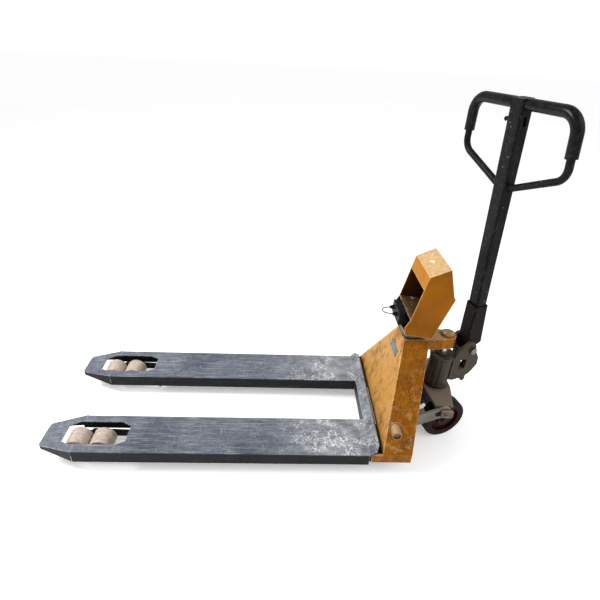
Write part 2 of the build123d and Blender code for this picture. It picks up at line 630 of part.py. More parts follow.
# ---------------------------------------------------------------- carrier under the pump
def carrier():
    """Cast cross carrier: hub round the spindle, flared arms and a hanging ear at each end."""
    end = EAR_INNER + EAR_WALL
    arms = level_plate([(STEER_X - 50, -30), (STEER_X - 34, -end), (STEER_X + 30, -end), (STEER_X + 52, -30),
                        (STEER_X + 52, 30), (STEER_X + 30, end), (STEER_X - 34, end), (STEER_X - 50, 30)],
                       (CARRIER_LOW, CARRIER_TOP))
    hub = bar((STEER_X, 0, CARRIER_LOW), (STEER_X, 0, CARRIER_TOP + 2), CARRIER_HUB_RADIUS)
    piece = arms + hub
    for sign in SIDES.values():
        y = sorted((sign * EAR_INNER, sign * end))
        piece += link((STEER_X, TRUNNION_Z), (STEER_X, CARRIER_TOP - 16), 16, 16, y)
        piece += block((STEER_X - 20, STEER_X + 20), y, (TRUNNION_Z, CARRIER_TOP))
    piece -= bar((STEER_X, 0, 0), (STEER_X, 0, CARRIER_TOP + 9), SPINDLE_RADIUS + RUNNING)
    return piece


def trunnions():
    """Pin and capped block at each end of the carrier."""
    pieces = []
    for sign in SIDES.values():
        start, cap_in = sign * (EAR_INNER + EAR_WALL), sign * (ARM_INNER + ARM_WALL + GAP)
        cap_out = cap_in + sign * 13
        low, high = TRUNNION_Z - 16, TRUNNION_Z + 13
        pin = cross_bar(STEER_X, TRUNNION_Z, (start, cap_in), TRUNNION_RADIUS)
        cap = block((STEER_X - 18, STEER_X + 26), sorted((cap_in, cap_out)), (low, high))
        cap = chamfer(cap.edges().filter_by(Axis.Y), 3)
        bolt = cross_bar(STEER_X, TRUNNION_Z, (cap_out, cap_out + sign * 5), 8)
        pieces.append(pin + cap + bolt)
    return group(*pieces)


def thrust_bearing():
    """Black thrust bearing ring between carrier and pump."""
    ring = bar((STEER_X, 0, CARRIER_TOP + 2), (STEER_X, 0, PUMP_LOW), BEARING_RADIUS)
    return ring - bar((STEER_X, 0, CARRIER_TOP), (STEER_X, 0, PUMP_LOW + 1), SPINDLE_RADIUS + RUNNING)


# ---------------------------------------------------------------- rocker and push rods
def rocker_shaft():
    half = HALF_WIDTH - FRAME_WALL
    return cross_bar(ROCKER_X, ROCKER_Z, (-half, half), ROCKER_SHAFT_RADIUS)


def arm_slot_ends():
    """Ends of the slot in a rocker arm: the trunnion's place at rest and its nearest place."""
    reach = STEER_X - ROCKER_X
    near = reach - 4
    angle = radians(ROCKER_REST)
    return ((ROCKER_X + near * cos(angle), ROCKER_Z + near * sin(angle)),
            (ROCKER_X + (TRUNNION_ARM + 2) * cos(angle), ROCKER_Z + (TRUNNION_ARM + 2) * sin(angle)))


def rocker():
    """Rocker: a cross tube with two rising arms, each with a bent flange, and two short levers."""
    tube = cross_bar(ROCKER_X, ROCKER_Z, (-ROCKER_HALF, ROCKER_HALF), ROCKER_TUBE_RADIUS)
    slot_near, slot_far = arm_slot_ends()
    angle = radians(ROCKER_REST)
    slot_half = TRUNNION_RADIUS + 3.6
    flange_end = STEER_X - ROCKER_X - FLANGE_SHORT
    piece = tube
    for sign in SIDES.values():
        y = sorted((sign * ARM_INNER, sign * (ARM_INNER + ARM_WALL)))
        arm = link((ROCKER_X, ROCKER_Z), slot_far, ARM_FOOT_DEPTH / 2, ARM_END_DEPTH / 2, y)
        arm -= link(slot_near, slot_far, slot_half, slot_half, (y[0] - 1, y[1] + 1))
        flange_y = sorted((sign * (ARM_INNER + 1), sign * (ARM_INNER - 20)))
        taper = (ARM_FOOT_DEPTH - ARM_END_DEPTH) / 2 / TRUNNION_ARM
        flange = []
        for along, down in ((24, 0), (flange_end, 0), (flange_end, 6), (24, 6)):
            up = ARM_FOOT_DEPTH / 2 - taper * along - down
            flange.append((ROCKER_X + along * cos(angle) - up * sin(angle),
                           ROCKER_Z + along * sin(angle) + up * cos(angle)))
        arm += side_plate(flange, flange_y)
        piece += arm
        for out in (ROD_EYE_WIDTH / 2 + GAP, -ROD_EYE_WIDTH / 2 - GAP - BRACKET_WALL):
            lever_y = (sign * FORK_Y + out, sign * FORK_Y + out + BRACKET_WALL)
            piece += link((ROCKER_X, ROCKER_Z), (ROD_HEEL_X, ROD_HEEL_Z), ROCKER_TUBE_RADIUS + 3,
                          ROD_EYE_RADIUS, lever_y)
        pin_half = ROD_EYE_WIDTH / 2 + GAP
        piece += cross_bar(ROD_HEEL_X, ROD_HEEL_Z, (sign * FORK_Y - pin_half, sign * FORK_Y + pin_half),
                           ROD_PIN_RADIUS)
    return piece - cross_bar(ROCKER_X, ROCKER_Z, (-HALF_WIDTH, HALF_WIDTH), ROCKER_SHAFT_RADIUS + RUNNING)


def push_rod():
    """Push rod with an eye at each end, about y = 0."""
    ends = ((ROD_HEEL_X, ROD_HEEL_Z), (ROD_TIP_X, ROD_TIP_Z))
    half = ROD_EYE_WIDTH / 2
    piece = bar((ends[0][0], 0, ends[0][1]), (ends[1][0], 0, ends[1][1]), ROD_RADIUS)
    for x, z in ends:
        piece += cross_bar(x, z, (-half, half), ROD_EYE_RADIUS)
    for x, z in ends:
        piece -= cross_bar(x, z, (-half - 1, half + 1), ROD_PIN_RADIUS + ROD_PIN_SLACK)
    return piece


# ---------------------------------------------------------------- load rollers
def bracket():
    """Roller bracket about y = 0: two cheeks from pivot to bogie, joined by the rod pin and a tube."""
    piece = None
    for sign in SIDES.values():
        y = sorted((sign * BRACKET_INNER, sign * BRACKET_OUTER))
        cheek = link((BRACKET_PIVOT_X, BRACKET_PIVOT_Z), (BOGIE_X, ROLLER_RADIUS), 12.5, 15, y)
        cheek += link((BRACKET_PIVOT_X, BRACKET_PIVOT_Z), (ROD_TIP_X, ROD_TIP_Z), 12.5, 8.5, y)
        piece = cheek if piece is None else piece + cheek
    for x, z, radius in ((BRACKET_PIVOT_X, BRACKET_PIVOT_Z, BRACKET_PIN_RADIUS + 4),
                         (ROD_TIP_X, ROD_TIP_Z, ROD_PIN_RADIUS)):
        piece += cross_bar(x, z, (-BRACKET_INNER, BRACKET_INNER), radius)
    whole = (-BRACKET_OUTER - 1, BRACKET_OUTER + 1)
    piece -= cross_bar(BRACKET_PIVOT_X, BRACKET_PIVOT_Z, whole, BRACKET_PIN_RADIUS + RUNNING)
    piece -= cross_bar(BOGIE_X, ROLLER_RADIUS, whole, BRACKET_PIN_RADIUS + RUNNING)
    return piece


def bracket_pin():
    """Pivot pin of a roller bracket, through both walls of the inner fork."""
    half = INNER_WIDTH / 2 + 2
    return cross_bar(BRACKET_PIVOT_X, BRACKET_PIVOT_Z, (-half, half), BRACKET_PIN_RADIUS)


def bogie():
    """Bogie frame about y = 0: two side plates with stub pins for the bracket."""
    pieces = []
    for sign in SIDES.values():
        y = sorted((sign * BOGIE_INNER, sign * BOGIE_OUTER))
        half = ROLLER_SPACING / 2
        plate = link((BOGIE_X - half, ROLLER_RADIUS), (BOGIE_X + half, ROLLER_RADIUS), 17, 17, y)
        for x in (BOGIE_X - half, BOGIE_X + half):
            plate -= cross_bar(x, ROLLER_RADIUS, (y[0] - 1, y[1] + 1), ROLLER_AXLE_RADIUS)
        stub = cross_bar(BOGIE_X, ROLLER_RADIUS, (sign * BOGIE_INNER, sign * (BRACKET_OUTER + 1)),
                         BRACKET_PIN_RADIUS)
        pieces.append(plate + stub)
    return group(*pieces)


def roller_axles():
    half = ROLLER_SPACING / 2
    return group(*[cross_bar(BOGIE_X + x, ROLLER_RADIUS, (-BOGIE_OUTER, BOGIE_OUTER), ROLLER_AXLE_RADIUS)
                   for x in (-half, half)])


def load_roller(x):
    """Nylon load roller about y = 0, with rounded rims and a recess in each face."""
    half = ROLLER_WIDTH / 2
    body = cross_bar(x, ROLLER_RADIUS, (-half, half), ROLLER_RADIUS)
    body = fillet(body.edges(), 3)
    for sign in SIDES.values():
        y = (sign * (half - 4), sign * (half + 1))
        body -= cross_bar(x, ROLLER_RADIUS, y, ROLLER_RADIUS - 12) - cross_bar(x, ROLLER_RADIUS, y,
                                                                               ROLLER_AXLE_RADIUS + 6)
    return body - cross_bar(x, ROLLER_RADIUS, (-half - 1, half + 1), ROLLER_AXLE_RADIUS + RUNNING)


# ---------------------------------------------------------------- pump, straight ahead
def steered(piece):
    """Turn a piece drawn straight ahead to where it stands at rest."""
    return Pos(STEER_X, 0, 0) * Rot(0, 0, STEER_REST) * piece


def pump_body():
    """Cast pump body: barrel with ribs, rim, two cheeks for the tiller and the plunger block."""
    barrel = bar((0, 0, PUMP_LOW), (0, 0, PUMP_TOP), PUMP_RADIUS)
    rim = bar((0, 0, PUMP_TOP - 8), (0, 0, PUMP_TOP), PUMP_RADIUS + 3)
    base = bar((0, 0, PUMP_LOW), (0, 0, PUMP_LOW + 7), PUMP_RADIUS + 2)
    piece = barrel + fillet(rim.edges(), 1.5) + fillet(base.edges(), 1.5)
    piece += bar((0, 0, PUMP_TOP - 1), (0, 0, PUMP_TOP + 8), RAM_RADIUS + 9)
    for number in range(RIB_COUNT):
        angle = 200 + 22 * number
        rib = block((PUMP_RADIUS - 4, PUMP_RADIUS + 5), (-2.5, 2.5), (PUMP_LOW + 6, PUMP_TOP - 6))
        piece += Rot(0, 0, angle) * rib
    cheek = [(22, 322), (36, 352), (56, 374), (76, 391), (92, 392), (108, 374), (114, 348), (134, 314),
             (137, 282), (123, 258), (108, 240), (82, 227), (40, 222), (22, 228)]
    for sign in SIDES.values():
        y = sorted((sign * CHEEK_INNER, sign * CHEEK_OUTER))
        plate = side_plate(cheek, y)
        plate = fillet(plate.edges().filter_by(Axis.Y), 4)
        pocket = block((54, 82), (y[0] - 1, y[1] + 1), (270, 316))
        plate -= fillet(pocket.edges().filter_by(Axis.Y), 4)
        piece += plate
    bore_low = PLUNGER_LOW - PLUNGER_TRAVEL - 4
    piece += block((20, PLUNGER_A), (-CHEEK_INNER, CHEEK_INNER), (bore_low - 5, bore_low + 18))
    piece += bar((PLUNGER_A, 0, bore_low - 5), (PLUNGER_A, 0, GUIDE_TOP), PLUNGER_RADIUS + 6)
    piece -= bar((PLUNGER_A, 0, bore_low), (PLUNGER_A, 0, GUIDE_TOP + 1), PLUNGER_RADIUS + RUNNING)
    piece -= bar((0, 0, PUMP_BORE_LOW), (0, 0, PUMP_TOP + 9), RAM_RADIUS + RUNNING)
    piece += link((88, 232), (88, 218), 9, 9, (-CHEEK_OUTER, -CHEEK_INNER))
    piece -= cross_bar(88, 218, (-CHEEK_OUTER - 1, 0), 3.5)
    pivot_y = (-CHEEK_OUTER - 1, CHEEK_OUTER + 1)
    return piece - cross_bar(TILLER_PIVOT_A, TILLER_PIVOT_Z, pivot_y, PIVOT_RADIUS)


def pivot_bolt():
    """Tiller pivot bolt with a hexagon head and a nut."""
    bolt = cross_bar(TILLER_PIVOT_A, TILLER_PIVOT_Z, (-CHEEK_OUTER, CHEEK_OUTER), PIVOT_RADIUS)
    for sign in SIDES.values():
        head_plane = Plane(origin=(TILLER_PIVOT_A, sign * CHEEK_OUTER, TILLER_PIVOT_Z), z_dir=(0, sign, 0))
        bolt += head_plane * extrude(RegularPolygon(14, 6), amount=9)
    return bolt


def plunger():
    """Pump plunger with a round head under the cam roller."""
    rod = bar((PLUNGER_A, 0, PLUNGER_LOW), (PLUNGER_A, 0, PLUNGER_TOP - 1), PLUNGER_RADIUS)
    top = bar((PLUNGER_A, 0, PLUNGER_TOP - PLUNGER_HEAD), (PLUNGER_A, 0, PLUNGER_TOP), PLUNGER_HEAD_RADIUS)
    return rod + fillet(top.edges(), 2)


def plunger_spring():
    """Envelope of the return spring between the guide and the plunger's head."""
    low, high = GUIDE_TOP, PLUNGER_TOP - PLUNGER_HEAD
    outer = bar((PLUNGER_A, 0, low), (PLUNGER_A, 0, high), PLUNGER_HEAD_RADIUS)
    return outer - bar((PLUNGER_A, 0, low - 1), (PLUNGER_A, 0, high + 1), PLUNGER_RADIUS + 0.4)


# ---------------------------------------------------------------- spindle, axle and steer wheels
def spindle():
    """Spindle under the pump with the block that carries the wheel axle."""
    shaft = bar((0, 0, WHEEL_RADIUS), (0, 0, PUMP_LOW), SPINDLE_RADIUS)
    half = WHEEL_OUTER - WHEEL_WIDTH - 6
    hub = cross_bar(0, WHEEL_RADIUS, (-half, half), 24)
    web = block((-20, 20), (-half + 12, half - 12), (WHEEL_RADIUS, WHEEL_RADIUS + 62))
    return shaft + hub + web - cross_bar(0, WHEEL_RADIUS, (-half - 1, half + 1), AXLE_RADIUS)


def wheel_axle():
    """Steer axle with a collar inside and a washer outside of each wheel."""
    axle = cross_bar(0, WHEEL_RADIUS, (-WHEEL_OUTER - 4, WHEEL_OUTER + 4), AXLE_RADIUS)
    hub_in = WHEEL_OUTER - WHEEL_WIDTH
    for sign in SIDES.values():
        for start, end in ((hub_in - 6, hub_in - 0.3), (WHEEL_OUTER + 0.3, WHEEL_OUTER + 3)):
            axle += cross_bar(0, WHEEL_RADIUS, (sign * start, sign * end), AXLE_RADIUS + 5)
    return axle


def wheel_tyre(sign):
    """Rubber tyre with a rounded tread."""
    y = sorted((sign * (WHEEL_OUTER - WHEEL_WIDTH), sign * WHEEL_OUTER))
    tyre = cross_bar(0, WHEEL_RADIUS, y, WHEEL_RADIUS)
    tyre = fillet(tyre.edges(), 8)
    return tyre - cross_bar(0, WHEEL_RADIUS, (y[0] - 1, y[1] + 1), WHEEL_RADIUS - TYRE_WALL)


def wheel_hub(sign):
    """Cast wheel centre with dished faces and seats for two ball bearings."""
    low, high = WHEEL_OUTER - WHEEL_WIDTH, WHEEL_OUTER
    hub = cross_bar(0, WHEEL_RADIUS, sorted((sign * (low + 1), sign * (high - 1))), WHEEL_RADIUS - TYRE_WALL)
    for start, end in ((low, low + 14), (high - 14, high)):
        y = sorted((sign * start, sign * end))
        hub -= cross_bar(0, WHEEL_RADIUS, y, WHEEL_RADIUS - TYRE_WALL - 7) - cross_bar(
            0, WHEEL_RADIUS, y, BALL_RADIUS + 6)
    for start, end in ((low, low + 1 + BALL_WIDTH), (high - 1 - BALL_WIDTH, high)):
        hub -= cross_bar(0, WHEEL_RADIUS, sorted((sign * start, sign * end)), BALL_RADIUS)
    return hub - cross_bar(0, WHEEL_RADIUS, (sign * low, sign * high), AXLE_RADIUS + 4)


def wheel_bearings(sign):
    low, high = WHEEL_OUTER - WHEEL_WIDTH + 1, WHEEL_OUTER - 1
    rings = []
    for start, end in ((low, low + BALL_WIDTH), (high - BALL_WIDTH, high)):
        y = sorted((sign * start, sign * end))
        rings.append(cross_bar(0, WHEEL_RADIUS, y, BALL_RADIUS) - cross_bar(
            0, WHEEL_RADIUS, (y[0] - 1, y[1] + 1), AXLE_RADIUS + RUNNING))
    return group(*rings)


# ---------------------------------------------------------------- tiller
def tiller_plane():
    """Plane of the handle loop: x across to the left, y up along the bar, origin level with the pivot."""
    lean = radians(TILLER_LEAN)
    return Plane(origin=(TILLER_PIVOT_A + TILLER_OFFSET, 0, TILLER_PIVOT_Z), x_dir=(0, -1, 0),
                 z_dir=(-cos(lean), 0, -sin(lean)))


def bar_section(depth, width, corner):
    return fillet(Rectangle(width, depth).vertices(), corner)


def tiller_level(up):
    """Plane across the bar at a height along it, x across to the left and y front to back."""
    plane = tiller_plane()
    return Plane(origin=plane.from_local_coords(Vector(0, up, 0)), x_dir=(0, -1, 0), z_dir=plane.y_dir)


def drawbar():
    """Drawbar tube, from inside the sleeve up to the crossbar."""
    up = CROSSBAR_UP + LOOP_TUBE_RADIUS + BAR_WALL + 1
    outer = tiller_level(BAR_START) * bar_section(BAR_DEPTH, BAR_WIDTH, BAR_CORNER)
    inner = tiller_level(BAR_START) * bar_section(BAR_DEPTH - 2 * BAR_WALL, BAR_WIDTH - 2 * BAR_WALL,
                                                  BAR_CORNER - BAR_WALL)
    tube = extrude(outer, amount=up - BAR_START) - extrude(inner, amount=up - BAR_START - BAR_WALL)
    hole = tiller_plane() * Pos(0, CROSSBAR_UP, 0) * Rot(0, 90, 0) * Cylinder(LOOP_TUBE_RADIUS, 2 * BAR_WIDTH)
    for sign in SIDES.values():
        join = tiller_plane() * Pos(sign * LOOP_JOIN_HALF, CROSSBAR_UP - LOOP_JOIN_DROP, 0)
        angle = degrees(atan2(LOOP_JOIN_DROP - LOOP_DROP, LOOP_LOW_HALF - LOOP_JOIN_HALF))
        leg = join * Rot(0, 0, sign * angle) * Pos(sign * BAR_WIDTH / 2, 0, 0) * Rot(0, 90, 0)
        hole += leg * Cylinder(LOOP_TUBE_RADIUS, BAR_WIDTH)
    lever_place = tiller_plane() * Pos(0, CROSSBAR_UP - LEVER_DROP, 0)
    slot = lever_place * Box(2 * BAR_WIDTH, 26, 12)
    pin = lever_place * Cylinder(LEVER_PIN_RADIUS, BAR_DEPTH - BAR_WALL)
    return tube - hole - slot + pin


def sleeve_shape(inset):
    low = tiller_level(SLEEVE_START) * bar_section(SLEEVE_DEPTH - 2 * inset, SLEEVE_WIDTH - 2 * inset,
                                                   BAR_CORNER)
    high = tiller_level(SLEEVE_START + SLEEVE_LENGTH) * bar_section(SLEEVE_TOP_DEPTH - 2 * inset,
                                                                    SLEEVE_WIDTH - 2 * inset, BAR_CORNER)
    return loft([low, high])


def sleeve():
    """Tapered sleeve over the foot of the drawbar, cut on a slant below."""
    shell = sleeve_shape(0) - sleeve_shape(SLEEVE_WALL)
    front = TILLER_PIVOT_A + SLEEVE_DEPTH
    outside = (-SLEEVE_WIDTH, SLEEVE_WIDTH)
    slant = [(TILLER_PIVOT_A - 60, TILLER_PIVOT_Z - 60), (front, TILLER_PIVOT_Z - 60),
             (front, TILLER_PIVOT_Z + 44), (TILLER_PIVOT_A - 24, TILLER_PIVOT_Z - 14),
             (TILLER_PIVOT_A - 60, TILLER_PIVOT_Z + 2)]
    shell -= side_plate(slant, outside)
    return shell - cross_bar(TILLER_PIVOT_A, TILLER_PIVOT_Z, outside, PIVOT_RADIUS + 0.5)


def tiller_foot():
    """Forged foot inside the sleeve: pivot eye, cam roller lugs and the plug in the drawbar."""
    half = BAR_WIDTH / 2 - 0.6
    pivot, cam = (TILLER_PIVOT_A, TILLER_PIVOT_Z), (TILLER_PIVOT_A + CAM_A, TILLER_PIVOT_Z + CAM_UP)
    eye = cross_bar(*pivot, (-half, half), EYE_RADIUS)
    lugs = link(pivot, cam, EYE_RADIUS, 8, (-half, half))
    outline = [(-12, 0), (8, 0), (11, 12), (26, 31), (-7, 31)]
    body = side_plate([(pivot[0] + along, pivot[1] + up) for along, up in outline], (-half, half))
    inside = bar_section(BAR_DEPTH - 2 * BAR_WALL, BAR_WIDTH - 2 * BAR_WALL, BAR_CORNER - BAR_WALL)
    plug = extrude(tiller_level(BAR_START - 6) * inside, amount=66)
    piece = lugs + body + plug
    gap = PLUNGER_HEAD_RADIUS + 3.5
    piece -= cross_bar(*cam, (-gap, gap), CAM_ROLLER_RADIUS + 2.5)
    piece -= block((pivot[0] + EYE_RADIUS + 0.3, cam[0] + 20), (-gap, gap), (pivot[1] - 20, cam[1]))
    return piece + eye - cross_bar(*pivot, (-half - 1, half + 1), PIVOT_RADIUS + RUNNING)


def cam_roller():
    """Hardened roller on its pin, between the lugs of the tiller's foot."""
    x, z = TILLER_PIVOT_A + CAM_A, TILLER_PIVOT_Z + CAM_UP
    return cross_bar(x, z, (-11, 11), CAM_ROLLER_RADIUS) + cross_bar(x, z, (-12.4, 12.4), 4)


def loop_path(start_half, end_drop):
    """Corner points of the handle loop on one side, from the crossbar round to the lower leg."""
    points = [(start_half, 0), (LOOP_TOP_HALF, 0), (LOOP_LOW_HALF, -LOOP_DROP),
              (LOOP_JOIN_HALF, -LOOP_JOIN_DROP)]
    if end_drop is not None:
        share = end_drop / LOOP_DROP
        points = points[:2] + [(LOOP_TOP_HALF + share * (LOOP_LOW_HALF - LOOP_TOP_HALF), -end_drop)]
    return points


def swept_tube(points, radii, radius, sign):
    plane = tiller_plane()
    corners = [plane.from_local_coords(Vector(sign * across, CROSSBAR_UP + up, 0)) for across, up in points]
    path = FilletPolyline(corners, radius=radii)
    return sweep(Plane(origin=path @ 0, z_dir=path % 0) * Circle(radius), path=path)


def handle_loop():
    """Handle tube: one closed loop of crossbar, two corners and two lower legs."""
    def whole_loop(radius):
        halves = [swept_tube(loop_path(0, None), [LOOP_TOP_BEND, LOOP_LOW_BEND], radius, sign)
                  for sign in SIDES.values()]
        return halves[0] + halves[1]

    return whole_loop(LOOP_TUBE_RADIUS) - whole_loop(LOOP_TUBE_RADIUS - LOOP_TUBE_WALL)


def grip(sign):
    """Moulded grip over one half of the crossbar, its corner and the upper leg."""
    points = loop_path(GRIP_START, GRIP_END_DROP)
    outer = swept_tube(points, [LOOP_TOP_BEND], LOOP_TUBE_RADIUS + GRIP_WALL, sign)
    return outer - swept_tube(points, [LOOP_TOP_BEND], LOOP_TUBE_RADIUS, sign)


def release_lever():
    """Release lever: a finger paddle on a hub inside the drawbar."""
    plane = tiller_plane() * Pos(0, CROSSBAR_UP - LEVER_DROP, 0)
    hub = Cylinder(6, 10)
    paddle = Pos(-LEVER_REACH / 2, 0, 0) * Box(LEVER_REACH, 7, 9)
    tip = Pos(-LEVER_REACH, 0, 0) * Cylinder(6.5, 9)
    tail = Pos(6, 0, 0) * Box(12, 5, 5)
    return plane * (hub + paddle + tip + tail - Cylinder(LEVER_PIN_RADIUS + RUNNING, 20))


def release_rod():
    """Rod inside the drawbar between release lever and valve."""
    start, end = BAR_START + 66, CROSSBAR_UP - LEVER_DROP - 4
    plane = tiller_plane()
    low = plane.from_local_coords(Vector(RELEASE_ROD_ASIDE, start, 0))
    high = plane.from_local_coords(Vector(RELEASE_ROD_ASIDE, end, 0))
    return bar(tuple(low), tuple(high), 3)


# ---------------------------------------------------------------- all pieces by name
def make_nodes():
    nodes = {"deck_cross_plate": heel_plate(), "load_cells": load_cells(), "inner_frame": inner_frame(),
             "front_plate": front_plate(), "junction_box": junction_box(), "frame_head": head(), "ram": ram(),
             "hood": hood(), "hood_bracket": hood_mount(), "indicator_case": indicator_case(),
             "indicator_lens": indicator_lens(), "cable_glands": glands(),
             "cell_cable": cable(), "rocker_shaft": rocker_shaft(), "carrier": carrier(),
             "trunnions": trunnions(), "thrust_bearing": thrust_bearing(), "rocker": rocker()}
    for number in range(KEY_COUNT):
        nodes[f"key_{number + 1}"] = key(number)
    for side, sign in SIDES.items():
        place = Pos(0, sign * FORK_Y, 0)
        nodes[f"fork_cover_{side}"] = place * fork_cover()
        nodes[f"roller_bracket_{side}"] = place * bracket()
        nodes[f"bogie_{side}"] = place * bogie()
        nodes[f"roller_axles_{side}"] = place * roller_axles()
        nodes[f"load_roller_tip_{side}"] = place * load_roller(BOGIE_X - ROLLER_SPACING / 2)
        nodes[f"load_roller_heel_{side}"] = place * load_roller(BOGIE_X + ROLLER_SPACING / 2)
        nodes[f"push_rod_{side}"] = place * push_rod()
        nodes[f"steer_tyre_{side}"] = steered(wheel_tyre(sign))
        nodes[f"steer_hub_{side}"] = steered(wheel_hub(sign))
        nodes[f"steer_bearings_{side}"] = steered(wheel_bearings(sign))
    nodes["bracket_pins"] = on_both_forks(bracket_pin())
    nodes["fork_noses"] = on_both_forks(nose())
    nodes["frame_sides"] = group(frame_side(), left_frame_side())
    nodes["grips"] = steered(group(grip(-1), grip(1)))
    nodes["side_stub"] = side_stub()
    steer_pieces = {"pump_body": pump_body, "pivot_bolt": pivot_bolt, "plunger": plunger,
                    "plunger_spring": plunger_spring, "spindle": spindle, "wheel_axle": wheel_axle,
                    "drawbar": drawbar, "drawbar_sleeve": sleeve, "tiller_foot": tiller_foot,
                    "cam_roller": cam_roller, "handle_loop": handle_loop, "release_lever": release_lever,
                    "release_rod": release_rod}
    for name, make in steer_pieces.items():
        nodes[name] = steered(make())
    return nodes


drawn = make_nodes()
boxes = [piece.bounding_box() for piece in drawn.values()]
ORIGIN_X = (min(box.min.X for box in boxes) + max(box.max.X for box in boxes)) / 2
PARTS = {name: Pos(-ORIGIN_X, 0, 0) * piece for name, piece in drawn.items()}
print(f"origin at x {ORIGIN_X:.3f} from the heel, {len(PARTS)} nodes")
for name, piece in PARTS.items():
    export_step(piece, f"parts/{name}.step")
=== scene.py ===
import bpy
import math
from mathutils import Matrix, Vector


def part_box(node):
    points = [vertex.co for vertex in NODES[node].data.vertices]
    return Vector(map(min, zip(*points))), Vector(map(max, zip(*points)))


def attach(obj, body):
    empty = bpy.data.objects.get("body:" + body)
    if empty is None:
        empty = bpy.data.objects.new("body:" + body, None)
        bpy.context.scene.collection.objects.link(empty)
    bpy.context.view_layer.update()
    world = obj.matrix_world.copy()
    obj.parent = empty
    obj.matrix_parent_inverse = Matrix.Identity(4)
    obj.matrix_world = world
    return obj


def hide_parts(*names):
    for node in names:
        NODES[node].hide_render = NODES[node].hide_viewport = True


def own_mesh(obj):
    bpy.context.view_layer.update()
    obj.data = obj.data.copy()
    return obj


# Looks of a hand pallet truck with a built-in scale. Metres, +Z up, +X from the forks towards the tiller.
# Left is -Y. The pieces of the frame stay where they are; this script gives them their finish and adds
# the small pieces: spring, weld beads, bolts, blank data plate with its rivets, and the lead.

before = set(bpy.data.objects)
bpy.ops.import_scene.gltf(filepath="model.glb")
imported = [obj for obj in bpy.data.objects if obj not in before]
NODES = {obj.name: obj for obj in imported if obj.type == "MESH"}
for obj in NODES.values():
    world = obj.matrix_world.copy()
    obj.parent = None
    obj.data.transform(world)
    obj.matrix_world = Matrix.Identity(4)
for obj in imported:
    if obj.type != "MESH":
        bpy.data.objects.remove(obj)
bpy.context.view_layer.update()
MM = 0.001

# ---------------------------------------------------------------- places
GLAND_ACROSS = (-0.006, 0.040)
CABLE_REACH = 0.046
CABLE_DIAMETER = 0.004
SPRING_TURNS = 7
SPRING_WIRE = 0.0014                 # radius of the wire
SPRING_FLAT = 0.08                   # share of the length wound flat at each end
TURN_STEPS = 16
HEEL_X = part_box("fork_cover_left")[1][0]
STEER_X = sum(corner[0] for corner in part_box("ram")) / 2
TILLER_TURN = math.radians(16.4)
TILLER_LEAN = math.radians(4.8)
TILLER_AHEAD = 0.108                 # from the steering axis to the bar's line, level with the pivot
TILLER_PIVOT_Z = 0.354
CROSSBAR_UP = 0.843                  # along the bar from the pivot's level to the crossbar
LOOP_JOIN_UP = 0.609
BAR_HALF = 0.025
PUMP_TOP_Z = 0.330
DECK_Z = 0.088
HALF_WIDTH = 0.2775
STUB_X = HEEL_X + 0.087
STUB_Z = 0.162
STUB_WELD_RADIUS = 0.0195
TRUNNION_Z = 0.166
SIDE_SLOPE = 0.6973                  # how much the mast's side plates close in for each metre of height
PLATE_PLACE = (HEEL_X + 0.1013, 0.0025, 0.3486)
PLATE_NORMAL = Vector((-0.9773, 0, 0.2126))
PLATE_UP = Vector((0.2126, 0, 0.9773))
PLATE_WIDTH = 0.084
PLATE_HEIGHT = 0.030
PLATE_THICKNESS = 0.0012
PLATE_RIM = 0.0025
RIVET_RADIUS = 0.0017
RIVET_INSET = 0.005                  # from the plate's edges to a rivet's middle
RIVET_SEAT = 0.0009                  # a rivet's foot, sunk below the plate's rim
WELD_WIDTH = 0.004
CROSSBAR_RING = 0.0115               # half the handle's tube
LEG_RING = 0.0125                    # longer along the bar, because the leg meets it at a slant
WELD_OFF_BAR = 0.0005
PUMP_BOLT_CIRCLE = 0.0345
PUMP_BOLT_ANGLES = (105, 155, 205, 255)
PUMP_BOLT_ACROSS = 0.009
TRUNNION_BOLT_ACROSS = 0.010
FLATS_TO_CORNER = 1.732              # a hexagon's width across flats over its corner radius
SURROUNDINGS_LIT = 0.68
SURROUNDINGS_SEEN = 1.1


def on_pump(ahead, side, height):
    """Place on the turned pump unit, so far ahead of the steering axis and to its side."""
    return Matrix.Rotation(TILLER_TURN, 3, "Z") @ Vector((ahead, side, height)) + Vector((STEER_X, 0, 0))


def on_tiller(across, up, out=0.0):
    """Place on the handle: across to the right, up along the bar, out towards the person."""
    ahead = TILLER_AHEAD - up * math.sin(TILLER_LEAN) + out * math.cos(TILLER_LEAN)
    height = TILLER_PIVOT_Z + up * math.cos(TILLER_LEAN) + out * math.sin(TILLER_LEAN)
    return on_pump(ahead, across, height)


# ---------------------------------------------------------------- camera
CAMERA_PLACE = Vector((HEEL_X - 0.3263, -1.2715, 1.3113))
CAMERA_YAW = math.radians(2.99)
CAMERA_PITCH = math.radians(31.02)
CAMERA_ROLL = math.radians(3.09)
CAMERA_LENS = 25.75
SENSOR_WIDTH = 36.0


def add_camera():
    yaw, pitch, roll = CAMERA_YAW, CAMERA_PITCH, CAMERA_ROLL
    ahead = Vector((math.sin(yaw) * math.cos(pitch), math.cos(yaw) * math.cos(pitch), -math.sin(pitch)))
    level = Vector((math.cos(yaw), -math.sin(yaw), 0))
    above = level.cross(ahead)
    side = level * math.cos(roll) + above * math.sin(roll)
    top = above * math.cos(roll) - level * math.sin(roll)
    camera = bpy.data.cameras.new("camera")
    camera.lens = CAMERA_LENS
    camera.sensor_width = SENSOR_WIDTH
    camera.clip_start = 0.01
    holder = bpy.data.objects.new("camera", camera)
    bpy.context.scene.collection.objects.link(holder)
    turn = Matrix((side, top, -ahead)).transposed().to_4x4()
    holder.matrix_world = Matrix.Translation(CAMERA_PLACE) @ turn
    bpy.context.scene.camera = holder


